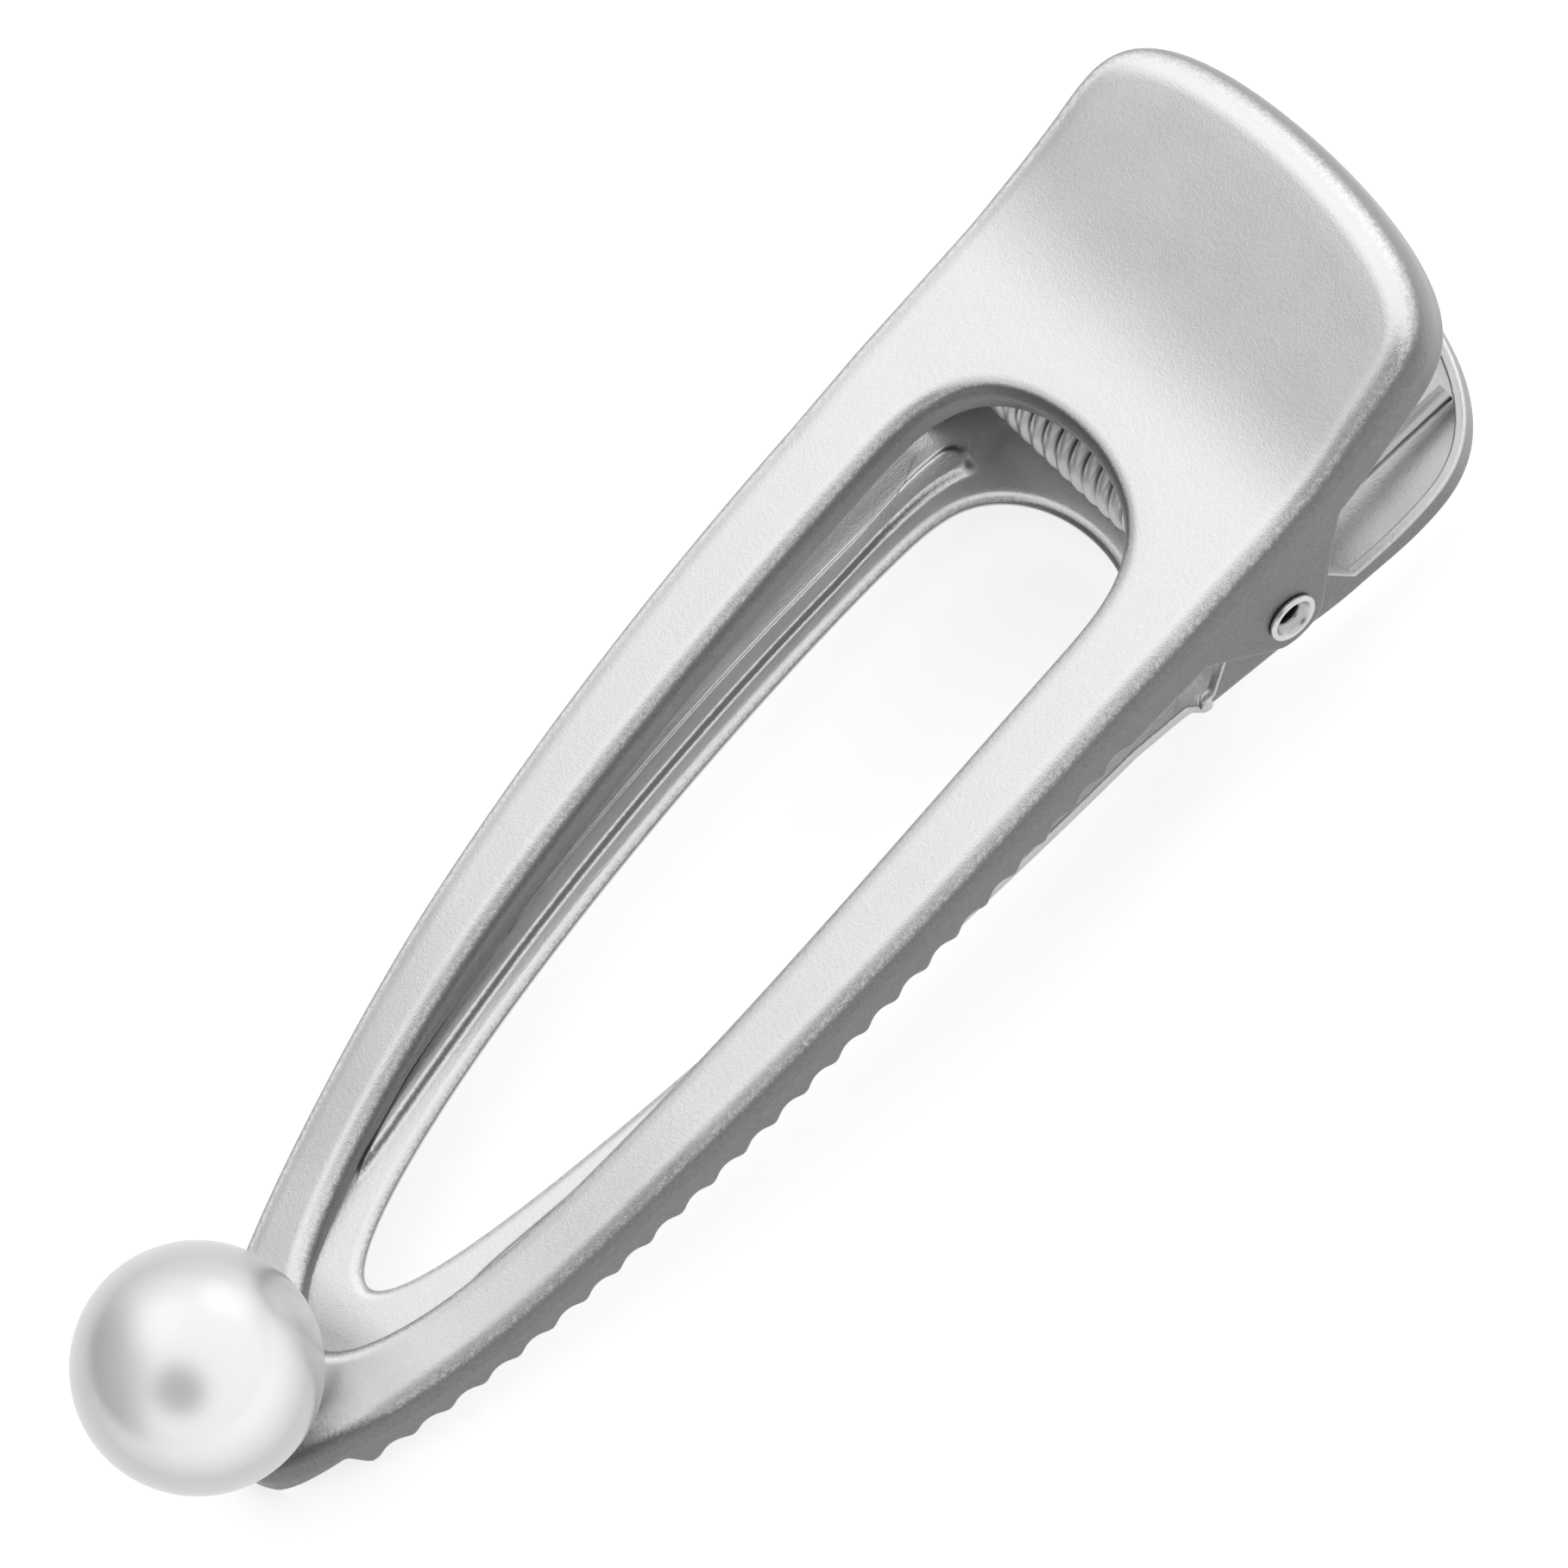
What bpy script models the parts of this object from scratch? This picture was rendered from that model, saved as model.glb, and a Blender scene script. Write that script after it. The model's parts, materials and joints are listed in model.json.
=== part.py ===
"""A stamped hair clip: two spring-closed jaws on a hollow rivet, with a pearl on the nose.

Every outline is measured from the hinge pin: X runs from the nose (-X) to the thumb levers (+X),
Y runs along the pin and Z is up. The finished clip is then stood on the floor, centred on its box.
"""
import math

import bmesh
import bpy
import numpy as np
from mathutils import Vector

MM = 0.001

# Sheet metal, and the play between neighbouring pieces
SHEET = 0.5 * MM
PLAY = 0.3 * MM
OVERRUN = 2.0 * MM

# Upper jaw: outline
NOSE_REACH = 52.4 * MM
WAIST_REACH = 8.0 * MM
JAW_HALF_WIDTH = 9.7 * MM
EAR_FLARE = 0.1 * MM
EAR_HALF_WIDTH = JAW_HALF_WIDTH + EAR_FLARE
EAR_FLARE_LENGTH = 4.0 * MM
LEVER_TAPER = 0.05 * MM
LEVER_HALF_WIDTH = EAR_HALF_WIDTH - LEVER_TAPER
LEVER_CORNER_START = 7.0 * MM
LEVER_REACH = 13.65 * MM
LEVER_CORNER_POWER_SHARE = 4.5
LEVER_LEAN_SHARE = 0.2

# Upper jaw: heights over the pin
TOP_HEIGHT = 5.0 * MM
TOP_SLOPE = 0.05
TOP_BOW_DROP = 4.183143 * MM
NOSE_BEND_LENGTH = 6.4 * MM
NOSE_BEND_REACH = NOSE_REACH - NOSE_BEND_LENGTH
NOSE_BEND_RADIUS = 9.0 * MM
LEVER_BEND_AT = 3.95 * MM
LEVER_BEND_HALF = 2.2 * MM
LEVER_RISE_SLOPE = 0.26

# Upper jaw: folded edges, their radii taken at the middle of the sheet
FLANK_RADIUS = 0.85 * MM
FLANK_DEPTH = 2.4 * MM
HINGE_FLANK_DEPTH = 2.8 * MM
NOSE_FLANK_DEPTH = 1.15 * MM
NOTCH_RAMP = 0.5 * MM

# Upper window
WINDOW_FRONT_LAND = 5.5 * MM
WINDOW_FRONT_REACH = NOSE_REACH - WINDOW_FRONT_LAND
WINDOW_REAR_REACH = 0.05 * MM
WINDOW_WAIST_REACH = 8.0 * MM
WINDOW_RIM_WIDTH = 3.3 * MM
WINDOW_HALF_WIDTH = JAW_HALF_WIDTH - WINDOW_RIM_WIDTH
WINDOW_FRONT_POWER_SHARE = 3.0
WINDOW_REAR_POWER_SHARE = 3.5
WINDOW_LIP_RADIUS = 0.35 * MM
WINDOW_LIP_DEPTH = 1.7 * MM

# Wavy rim of the upper flanks
TOOTH_PITCH = 1.67 * MM
TOOTH_HEIGHT = 0.42 * MM
TOOTH_LEAN_SHARE = 0.3
TOOTH_SETBACK = 4.5 * MM
TOOTH_FRONT_REACH = NOSE_REACH - TOOTH_SETBACK
TOOTH_REAR_REACH = 8.2 * MM
TOOTH_STEPS = 8
NOTCH_LAND = 0.4 * MM
NOTCH_REACH = TOOTH_FRONT_REACH + NOTCH_LAND

# Upper ears, lobes round the pin
LOBE_RADIUS = 1.85 * MM
LOBE_FRONT_ANGLE = math.radians(54)
LOBE_REAR_ANGLE = math.radians(59)

# Lower jaw: outline
LOWER_NOSE_SETBACK = 2.1 * MM
LOWER_NOSE_REACH = NOSE_REACH - LOWER_NOSE_SETBACK
LOWER_INSET = 1.5 * MM
LOWER_HALF_WIDTH = JAW_HALF_WIDTH - LOWER_INSET
SIDE_PLAY = 0.3 * MM
LOWER_STEP_REACH = 5.4 * MM
LOWER_STEP_LENGTH = 0.7 * MM
LOWER_LEVER_FLARE = 0.75 * MM
LOWER_FLARE_AT = 2.9 * MM
LOWER_LEVER_START = 6.0 * MM
LOWER_LEVER_SETBACK = 1.0 * MM
LOWER_LEVER_REACH = LEVER_REACH - LOWER_LEVER_SETBACK
LOWER_LEVER_POWER_SHARE = 4.5
LOWER_LEVER_ARCH = 0.16 * MM

# Lower jaw: heights over the pin, at the top of its sheet
FLOOR_CREST = -0.4 * MM
FLOOR_CREST_REACH = 29.0 * MM
FLOOR_BOW_RADIUS = 228.0 * MM
FLOOR_STRAIGHT_REACH = 13.0 * MM
FLOOR_DIP_REACH = 5.4 * MM
FLOOR_DIP_SLOPE = 0.22
FLOOR_LEVEL_AT = 1.6 * MM
FLOOR_LEVEL_SLOPE = 0.28
FLOOR_BEND_HALF = 0.8 * MM
LOWER_NOSE_BEND_LENGTH = 6.3 * MM
LOWER_NOSE_BEND_REACH = LOWER_NOSE_REACH - LOWER_NOSE_BEND_LENGTH
LOWER_NOSE_BEND_RADIUS = 9.0 * MM

# Lower jaw: folded edges, lips and beads
WALL_RADIUS = 0.4 * MM
LEVER_RIM_HEIGHT = 0.85 * MM
EAR_CREST = 2.05 * MM
EAR_CREST_RADIUS = 2.05 * MM
EAR_EDGE_REACH = 4.75 * MM
EAR_FRONT_ANGLE = math.radians(46)
EAR_REAR_ANGLE = math.radians(50)
PLATE_EDGE = 0.2 * MM
LOWER_WINDOW_LAND = 6.9 * MM
LOWER_WINDOW_FRONT_REACH = LOWER_NOSE_REACH - LOWER_WINDOW_LAND
LOWER_WINDOW_REAR_REACH = 3.0 * MM
LOWER_WINDOW_WAIST_REACH = 10.0 * MM
LOWER_RIM_WIDTH = 2.95 * MM
LOWER_WINDOW_HALF_WIDTH = LOWER_HALF_WIDTH - LOWER_RIM_WIDTH
LOWER_WINDOW_FRONT_POWER_SHARE = 1.5
LOWER_WINDOW_REAR_POWER_SHARE = 3.6
LOWER_LIP_RADIUS = 0.5 * MM
LOWER_LIP_DEPTH = 0.75 * MM
BEAD_HEIGHT = 0.3 * MM
BEAD_FRONT_SETBACK = 2.9 * MM
BEAD_FRONT_REACH = LOWER_WINDOW_FRONT_REACH - BEAD_FRONT_SETBACK
BEAD_REAR_REACH = 4.0 * MM
BEAD_END_LENGTH = 0.8 * MM

# Rivet
RIVET_RADIUS = 0.85 * MM
RIVET_WALL = 0.3 * MM
RIVET_HEAD_RADIUS = 1.3 * MM
RIVET_HEAD_HEIGHT = 0.3 * MM
RIVET_HOLE_PLAY = 0.25 * MM

# Torsion spring
WIRE_RADIUS = 0.35 * MM
COIL_RADIUS = 1.65 * MM
COIL_SETBACK = 3.3 * MM
COIL_HALF_LENGTH = EAR_HALF_WIDTH - COIL_SETBACK
COIL_TURNS = 11.5
COIL_POINTS = 9
LEG_REACH = 10.45 * MM
LEG_STEPS = 4

# Pearl and the cup it is cemented on
PEARL_RADIUS = 5.0 * MM
PEARL_STANDOFF = 1.0 * MM
PEARL_SETBACK = 4.6 * MM
PEARL_BASE_REACH = NOSE_REACH - PEARL_SETBACK
CUP_FOOT_RADIUS = 1.0 * MM
CUP_RIM_RADIUS = 2.1 * MM
CUP_WALL = 0.3 * MM
PEG_RADIUS = 0.4 * MM
PEG_LENGTH = 3.2 * MM
BORE_RADIUS = 0.7 * MM

# Divisions of the sheet metal's surface, as shares of the way from the window to the flank
FACE_SHARES = (1 / 7, 2 / 7, 3 / 7, 4 / 7, 5 / 7, 6 / 7)
BEAD_FACE_SHARES = (0.24, 0.38, 0.5, 0.62, 0.76, 0.88)
BEAD_PROFILE_SHARES = (0.0, 0.85, 1.0, 0.85, 0.0, 0.0)
UPPER_STATIONS = (8, 15, 6, 11)
LOWER_STATIONS = (8, 14, 6, 6, 10)
LEVER_RIM_SHARES = (0.26, 0.32, 0.38, 0.46, 1.0)
CUP_HOLLOW_SHARES = (0.0, 0.5, 1.0)
FOLD_STEPS = 3


def ramp(distance, half):
    """Zero before a bend, the distance after it, and a parabola between -half and half."""
    if distance <= -half:
        return 0.0
    if distance >= half:
        return distance
    return (distance + half) ** 2 / (4 * half)


def top_height(x):
    """Height of the upper jaw's top face over the pin."""
    bow = TOP_BOW_DROP * (min(0.0, x + EAR_FLARE_LENGTH) / (NOSE_REACH - EAR_FLARE_LENGTH)) ** 2
    nose = min(0.0, x + NOSE_BEND_REACH) ** 2 / (2 * NOSE_BEND_RADIUS)
    lever = LEVER_RISE_SLOPE * ramp(x - LEVER_BEND_AT, LEVER_BEND_HALF)
    return TOP_HEIGHT + TOP_SLOPE * x - bow - nose + lever


def floor_height(x):
    """Height of the lower jaw's upper face over the pin."""
    bent = min(x, -FLOOR_STRAIGHT_REACH)
    slope = -(-FLOOR_STRAIGHT_REACH + FLOOR_CREST_REACH) / FLOOR_BOW_RADIUS
    bow = (bent + FLOOR_CREST_REACH) ** 2 / (2 * FLOOR_BOW_RADIUS)
    nose = min(0.0, x + LOWER_NOSE_BEND_REACH) ** 2 / (2 * LOWER_NOSE_BEND_RADIUS)
    dip = FLOOR_DIP_SLOPE * ramp(x + FLOOR_DIP_REACH, FLOOR_BEND_HALF)
    level = FLOOR_LEVEL_SLOPE * ramp(x - FLOOR_LEVEL_AT, FLOOR_BEND_HALF)
    return FLOOR_CREST - bow - nose + slope * (x - bent) - dip + level


def flank_depth(x):
    """Depth of the upper flank's rim under the top face, with its teeth left out."""
    share = min(1.0, max(0.0, (x + TOOTH_REAR_REACH) / (TOOTH_REAR_REACH - EAR_FLARE_LENGTH)))
    return FLANK_DEPTH + (HINGE_FLANK_DEPTH - FLANK_DEPTH) * share


def slope_angle(height, x):
    """Slope of a height curve at x."""
    step = SHEET / 10
    return math.atan2(height(x + step) - height(x - step), 2 * step)


def oval(root, reach, half_width, power, steps=60):
    """Half of a superellipse, from its far end on the centre line to its root at full width."""
    points = []
    for step in range(steps + 1):
        angle = math.pi / 2 * step / steps
        points.append((root + reach * math.cos(angle) ** (2 / power), half_width * math.sin(angle)))
    return points


def joined(*runs):
    """One outline from several runs of points, with doubled points left out."""
    points = []
    for run in runs:
        for point in run:
            if not points or math.dist(points[-1], point) > SHEET / 50:
                points.append(point)
    return np.array(points)


def along(line):
    """Length along an outline at each of its points."""
    return np.concatenate([[0.0], np.cumsum(np.hypot(*np.diff(line, axis=0).T))])


def reach_length(line, x):
    """Length along an outline where it first passes x."""
    first = int(np.argmax(line[:, 0] >= x))
    before, after = line[first - 1, 0], line[first, 0]
    share = (x - before) / (after - before)
    length = along(line)
    return length[first - 1] + share * (length[first] - length[first - 1])


def stations(line, marks, counts):
    """Points of an outline at equal steps between marks, which are lengths along it."""
    length = along(line)
    places = [0.0]
    for start, end, count in zip(marks[:-1], marks[1:], counts):
        places += [start + (end - start) * (k + 1) / count for k in range(count)]
    x = np.interp(places, length, line[:, 0])
    y = np.interp(places, length, line[:, 1])
    return np.array([x, y]).T


def outward(points):
    """Unit normals of an outline, away from its inside, square to the centre line at both ends."""
    tangent = np.gradient(points, axis=0)
    normal = np.array([-tangent[:, 1], tangent[:, 0]]).T
    normal[0] = (-1.0, 0.0)
    normal[-1] = (1.0, 0.0)
    return normal / np.linalg.norm(normal, axis=1, keepdims=True)


def divided(line, marks, counts):
    """An outline cut into stations, with marks given as distances in front of the pin."""
    ends = [reach_length(line, -mark) for mark in marks]
    return stations(line, [0.0, *ends, along(line)[-1]], counts)


def fold(base, out, down, radius, run):
    """Points of a folded edge: from base it leaves along out, rounds a radius and goes on down."""
    turn = out.angle(down)
    across = (down - out * out.dot(down)).normalized()
    bend = min(turn, run / radius)
    points = []
    for step in range(1, FOLD_STEPS + 1):
        angle = bend * step / FOLD_STEPS
        points.append(base + out * (radius * math.sin(angle)) + across * (radius * (1 - math.cos(angle))))
    onward = out * math.cos(bend) + across * math.sin(bend)
    points.append(points[-1] + onward * max(run - turn * radius, SHEET / 10))
    return points


def sheet_object(name, sections, parts):
    """Half a shell lofted through its sections, mirrored at the centre plane and thickened."""
    mesh = bmesh.new()
    rows = [[mesh.verts.new(point) for point in section] for section in sections]
    for here, there in zip(rows[:-1], rows[1:]):
        for k in range(len(here) - 1):
            mesh.faces.new((here[k], there[k], there[k + 1], here[k + 1]))
    data = bpy.data.meshes.new(name)
    mesh.to_mesh(data)
    mesh.free()
    shell = bpy.data.objects.new(name, data)
    parts.objects.link(shell)
    mirror = shell.modifiers.new("both_sides", "MIRROR")
    mirror.use_axis = (False, True, False)
    mirror.merge_threshold = 0.00001
    solid = shell.modifiers.new("sheet", "SOLIDIFY")
    solid.thickness = SHEET
    solid.offset = 0.0
    solid.use_quality_normals = True
    return shell


def prism(name, outline, half_width, cutters):
    """A cutter with a side outline in X and Z, run right across the clip."""
    mesh = bmesh.new()
    near = [mesh.verts.new((x, -half_width, z)) for x, z in outline]
    far = [mesh.verts.new((x, half_width, z)) for x, z in outline]
    mesh.faces.new(near)
    mesh.faces.new(far[::-1])
    for k in range(len(outline)):
        follow = (k + 1) % len(outline)
        mesh.faces.new((near[follow], near[k], far[k], far[follow]))
    bmesh.ops.recalc_face_normals(mesh, faces=mesh.faces)
    data = bpy.data.meshes.new(name)
    mesh.to_mesh(data)
    mesh.free()
    return as_cutter(bpy.data.objects.new(name, data), cutters)


def as_cutter(cutter, cutters):
    """Keep an object as a cutter: shown as wires and never rendered."""
    for collection in list(cutter.users_collection):
        collection.objects.unlink(cutter)
    cutters.objects.link(cutter)
    cutter.hide_render = True
    cutter.display_type = "WIRE"
    return cutter


def pin_cutter(name, radius, half_length, cutters):
    """A round cutter along the pin."""
    bpy.ops.mesh.primitive_cylinder_add(vertices=24, radius=radius, depth=2 * half_length)
    cutter = bpy.context.object
    cutter.name = name
    cutter.rotation_euler = (math.pi / 2, 0.0, 0.0)
    return as_cutter(cutter, cutters)


def cut(part, cutter):
    """Take a cutter out of a part."""
    boolean = part.modifiers.new(cutter.name, "BOOLEAN")
    boolean.operation = "DIFFERENCE"
    boolean.solver = "EXACT"
    boolean.object = cutter


def turned(name, profile, steps, parts):
    """A round piece turned about its own Z axis from a closed profile of (radius, height)."""
    mesh = bmesh.new()
    verts = [mesh.verts.new((radius, 0.0, height)) for radius, height in profile]
    for here, there in zip(verts, verts[1:] + verts[:1]):
        if here.co.x > 0 or there.co.x > 0:
            mesh.edges.new((here, there))
    data = bpy.data.meshes.new(name)
    mesh.to_mesh(data)
    mesh.free()
    piece = bpy.data.objects.new(name, data)
    parts.objects.link(piece)
    screw = piece.modifiers.new("turned", "SCREW")
    screw.steps = steps
    screw.render_steps = steps
    screw.use_merge_vertices = True
    screw.merge_threshold = 0.00001
    return piece


def material(piece, colour, roughness, metallic):
    """Give a piece its own plain material."""
    look = bpy.data.materials.new(piece.name)
    look.use_nodes = True
    shader = look.node_tree.nodes["Principled BSDF"]
    shader.inputs["Base Color"].default_value = (*colour, 1.0)
    shader.inputs["Roughness"].default_value = roughness
    shader.inputs["Metallic"].default_value = metallic
    piece.data.materials.clear()
    piece.data.materials.append(look)


def window_outline(front, rear, waist, half_width, front_power, rear_power):
    """Half of a drop-shaped window, from its front end to its rear end."""
    nose_run = oval(-waist, waist - front, half_width, front_power)
    rear_run = oval(-waist, waist - rear, half_width, rear_power)[::-1]
    return joined(nose_run, rear_run)


def upper_sections():
    """Half sections of the upper jaw, each from the window lip's edge to the flank's edge."""
    nose = oval(-WAIST_REACH, WAIST_REACH - NOSE_REACH, JAW_HALF_WIDTH, 2.0)
    side = [(-EAR_FLARE_LENGTH, EAR_HALF_WIDTH), (LEVER_BEND_AT, EAR_HALF_WIDTH)]
    rear_reach = LEVER_REACH - LEVER_CORNER_START
    rear = oval(LEVER_CORNER_START, rear_reach, LEVER_HALF_WIDTH, LEVER_CORNER_POWER_SHARE)[::-1]
    flank = joined(nose, side, rear)
    window = window_outline(
        WINDOW_FRONT_REACH, WINDOW_REAR_REACH, WINDOW_WAIST_REACH, WINDOW_HALF_WIDTH,
        WINDOW_FRONT_POWER_SHARE, WINDOW_REAR_POWER_SHARE,
    )
    front_mark = WINDOW_FRONT_REACH - WINDOW_HALF_WIDTH / 2
    window_rear_mark = WINDOW_REAR_REACH + WINDOW_HALF_WIDTH / 2
    outer = divided(flank, (front_mark + SHEET, WAIST_REACH, -LEVER_BEND_AT / 4), UPPER_STATIONS)
    inner = divided(window, (front_mark, WINDOW_WAIST_REACH, window_rear_mark), UPPER_STATIONS)
    half = SHEET / 2
    out_normal, in_normal = outward(outer), -outward(inner)
    fold_start = outer - out_normal * (FLANK_RADIUS + half)
    sections = []

    def face(point):
        return Vector((point[0], point[1], top_height(point[0]) - half))

    for k in range(len(outer)):
        start, end = inner[k], fold_start[k]
        across = [face(start + (end - start) * share) for share in FACE_SHARES]
        down = Vector((0.0, 0.0, -1.0))
        lip_room = top_height(start[0]) - floor_height(start[0]) - PLAY - SHEET
        lip_run = min(WINDOW_LIP_DEPTH, lip_room) - WINDOW_LIP_RADIUS * (1 - math.pi / 2)
        lip_out = Vector((*in_normal[k], 0.0))
        lip = fold(face(start), lip_out, down, WINDOW_LIP_RADIUS, lip_run)
        angle = slope_angle(top_height, end[0])
        lever_angle = LEVER_LEAN_SHARE * angle if end[0] > 0 else 0.0
        inward = Vector((math.sin(lever_angle), 0.0, -math.cos(lever_angle)))
        surface_x = Vector((math.cos(angle), 0.0, math.sin(angle)))
        out = surface_x * out_normal[k][0] + Vector((0.0, out_normal[k][1], 0.0))
        reach = -outer[k][0]
        notch = min(1.0, max(0.0, (NOTCH_REACH + NOTCH_RAMP - reach) / NOTCH_RAMP))
        depth = NOSE_FLANK_DEPTH + (FLANK_DEPTH + TOOTH_HEIGHT - NOSE_FLANK_DEPTH) * notch
        if abs(outer[k][0]) < EAR_FLARE_LENGTH + SHEET:
            depth = TOP_HEIGHT + LOBE_RADIUS + SHEET
        run = depth - FLANK_RADIUS * (1 - math.pi / 2) - half
        flank_fold = fold(face(end), out, inward, FLANK_RADIUS, run)
        sections.append([*lip[::-1], face(start), *across, face(end), *flank_fold])
    for section in (sections[0], sections[-1]):
        for point in section:
            point.y = 0.0
    return sections


def rim_outline():
    """The wavy rim, the ear lobe and the lever's rim, as points of (x, height) from nose to rear."""
    def plain(x):
        return (x, top_height(x) - flank_depth(x))

    points = []
    steps = round((TOOTH_FRONT_REACH - TOOTH_REAR_REACH) / TOOTH_PITCH) * TOOTH_STEPS
    for step in range(steps + 1):
        x = -TOOTH_FRONT_REACH + TOOTH_PITCH * step / TOOTH_STEPS
        phase = 2 * math.pi * step / TOOTH_STEPS
        wave = math.cos(phase + TOOTH_LEAN_SHARE * math.sin(phase))
        points.append((x, plain(x)[1] - TOOTH_HEIGHT / 2 * wave))
    lobe = lobe_outline(LOBE_RADIUS, LOBE_FRONT_ANGLE, LOBE_REAR_ANGLE, -1.0)
    hinge_rim = plain(-EAR_FLARE_LENGTH)[1]
    lever_depth = FLANK_DEPTH + SHEET / 5
    front_x = lobe[0][0] - (hinge_rim - lobe[0][1]) / math.tan(LOBE_FRONT_ANGLE)
    points.append(plain(front_x - LOBE_RADIUS / 2))
    points.append((front_x, hinge_rim - SHEET / 8))
    points += lobe
    lever_run = LEVER_REACH + OVERRUN
    for share in LEVER_RIM_SHARES:
        x = lever_run * share
        points.append((x, top_height(x) - lever_depth / math.cos(slope_angle(top_height, x))))
    return points


def lobe_outline(radius, front_angle, rear_angle, side):
    """An arc round the pin that meets a front and a rear edge: side -1 is under the pin, 1 over it."""
    start = math.pi + (math.pi / 2 - front_angle)
    end = 2 * math.pi - (math.pi / 2 - rear_angle)
    points = []
    for step in range(7):
        angle = start + (end - start) * step / 6
        points.append((radius * math.cos(angle), -side * radius * math.sin(angle)))
    return points


def upper_jaw(parts, cutters):
    """The upper jaw: an open drop-shaped frame with toothed flanks, two ears and a thumb lever."""
    jaw = sheet_object("upper_jaw", upper_sections(), parts)
    rim = rim_outline()
    low = -TOP_HEIGHT - LOBE_RADIUS - OVERRUN
    outline = [(-NOTCH_REACH, rim[0][1]), *rim, (rim[-1][0], low), (-NOTCH_REACH, low)]
    cut(jaw, prism("rim_cutter", outline, EAR_HALF_WIDTH + OVERRUN, cutters))
    return jaw


def lower_sections():
    """Half sections of the lower jaw, each from its window lip's edge to its outer edge."""
    ear_half_width = EAR_HALF_WIDTH - SHEET - SIDE_PLAY
    lever_half_width = ear_half_width + LOWER_LEVER_FLARE
    nose = oval(-WAIST_REACH, WAIST_REACH - LOWER_NOSE_REACH, LOWER_HALF_WIDTH, 2.0)
    step_end = LOWER_STEP_REACH - LOWER_STEP_LENGTH
    ear = [(-step_end, ear_half_width), (0.0, ear_half_width), (LOWER_FLARE_AT, ear_half_width)]
    side = [(-LOWER_STEP_REACH, LOWER_HALF_WIDTH), *ear]
    rear_reach = LOWER_LEVER_REACH - LOWER_LEVER_START
    rear = oval(LOWER_LEVER_START, rear_reach, lever_half_width, LOWER_LEVER_POWER_SHARE)[::-1]
    edge = joined(nose, side, rear)
    smooth = joined(nose, ear[1:], rear)
    window = window_outline(
        LOWER_WINDOW_FRONT_REACH, LOWER_WINDOW_REAR_REACH, LOWER_WINDOW_WAIST_REACH,
        LOWER_WINDOW_HALF_WIDTH, LOWER_WINDOW_FRONT_POWER_SHARE, LOWER_WINDOW_REAR_POWER_SHARE,
    )
    front_mark = LOWER_WINDOW_FRONT_REACH - LOWER_WINDOW_HALF_WIDTH / 2
    marks = (front_mark + SHEET, LOWER_STEP_REACH + SHEET, step_end - SHEET / 2, 0.0)
    outer = divided(edge, marks, LOWER_STATIONS)
    guide = divided(smooth, marks, LOWER_STATIONS)
    waist = LOWER_WINDOW_WAIST_REACH
    window_marks = (front_mark, waist, waist - 2 * LOWER_STEP_LENGTH, LOWER_WINDOW_REAR_REACH + SHEET)
    inner = divided(window, window_marks, LOWER_STATIONS)
    half = SHEET / 2
    out_normal, in_normal = outward(guide), -outward(inner)
    lip_start = inner - in_normal * LOWER_LIP_RADIUS
    slope = slope_angle(floor_height, LOWER_LEVER_START)
    sections = []

    def face(point, rise=0.0):
        share = min(1.0, max(0.0, (point[0] - LOWER_FLARE_AT) / (LOWER_LEVER_START - LOWER_FLARE_AT)))
        arch = LOWER_LEVER_ARCH * share * (point[1] / lever_half_width) ** 2
        return Vector((point[0], point[1], floor_height(point[0]) - half + rise - arch))

    for k in range(len(outer)):
        walled = outer[k][0] > -EAR_EDGE_REACH
        fold_start = outer[k] - out_normal[k] * ((WALL_RADIUS + half) if walled else PLATE_EDGE)
        start, end = lip_start[k], fold_start
        middle = start[0] + (end[0] - start[0]) / 2
        front_share = min(1.0, max(0.0, (middle + BEAD_FRONT_REACH) / BEAD_END_LENGTH))
        rear_share = min(1.0, max(0.0, (-BEAD_REAR_REACH - middle) / BEAD_END_LENGTH))
        bead = BEAD_HEIGHT * min(front_share, rear_share)
        across = []
        for share, profile in zip(BEAD_FACE_SHARES, BEAD_PROFILE_SHARES):
            across.append(face(start + (end - start) * share, bead * profile))
        lip_out = Vector((*in_normal[k], 0.0))
        lip_run = LOWER_LIP_DEPTH - LOWER_LIP_RADIUS * (1 - math.pi / 2)
        lip = fold(face(start), lip_out, Vector((0.0, 0.0, -1.0)), LOWER_LIP_RADIUS, lip_run)
        up = Vector((-math.sin(slope), 0.0, math.cos(slope)))
        out = Vector((*out_normal[k], 0.0))
        quarter = WALL_RADIUS * math.pi / 2
        run = PLATE_EDGE
        if walled:
            run = quarter + LEVER_RIM_HEIGHT - WALL_RADIUS
        if walled and outer[k][0] < EAR_EDGE_REACH:
            run = quarter + EAR_CREST - floor_height(0.0)
        wall = fold(face(end), out, up, WALL_RADIUS, run)
        sections.append([*lip[::-1], face(start), *across, face(end), *wall])
    for section in (sections[0], sections[-1]):
        for point in section:
            point.y = 0.0
    return sections


def ear_outline():
    """The lower ear's edge, as points of (x, height) from its front foot to the lever's rim."""
    lobe = lobe_outline(EAR_CREST_RADIUS, EAR_FRONT_ANGLE, EAR_REAR_ANGLE, 1.0)
    front_foot = floor_height(-EAR_EDGE_REACH) + SHEET / 2
    rear_foot = floor_height(EAR_EDGE_REACH) + LEVER_RIM_HEIGHT
    front_x = lobe[0][0] - (lobe[0][1] - front_foot) / math.tan(EAR_FRONT_ANGLE)
    rear_x = lobe[-1][0] + (lobe[-1][1] - rear_foot) / math.tan(EAR_REAR_ANGLE)
    return [(front_x - OVERRUN, front_foot), (front_x, front_foot), *lobe, (rear_x, rear_foot)]


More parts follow.
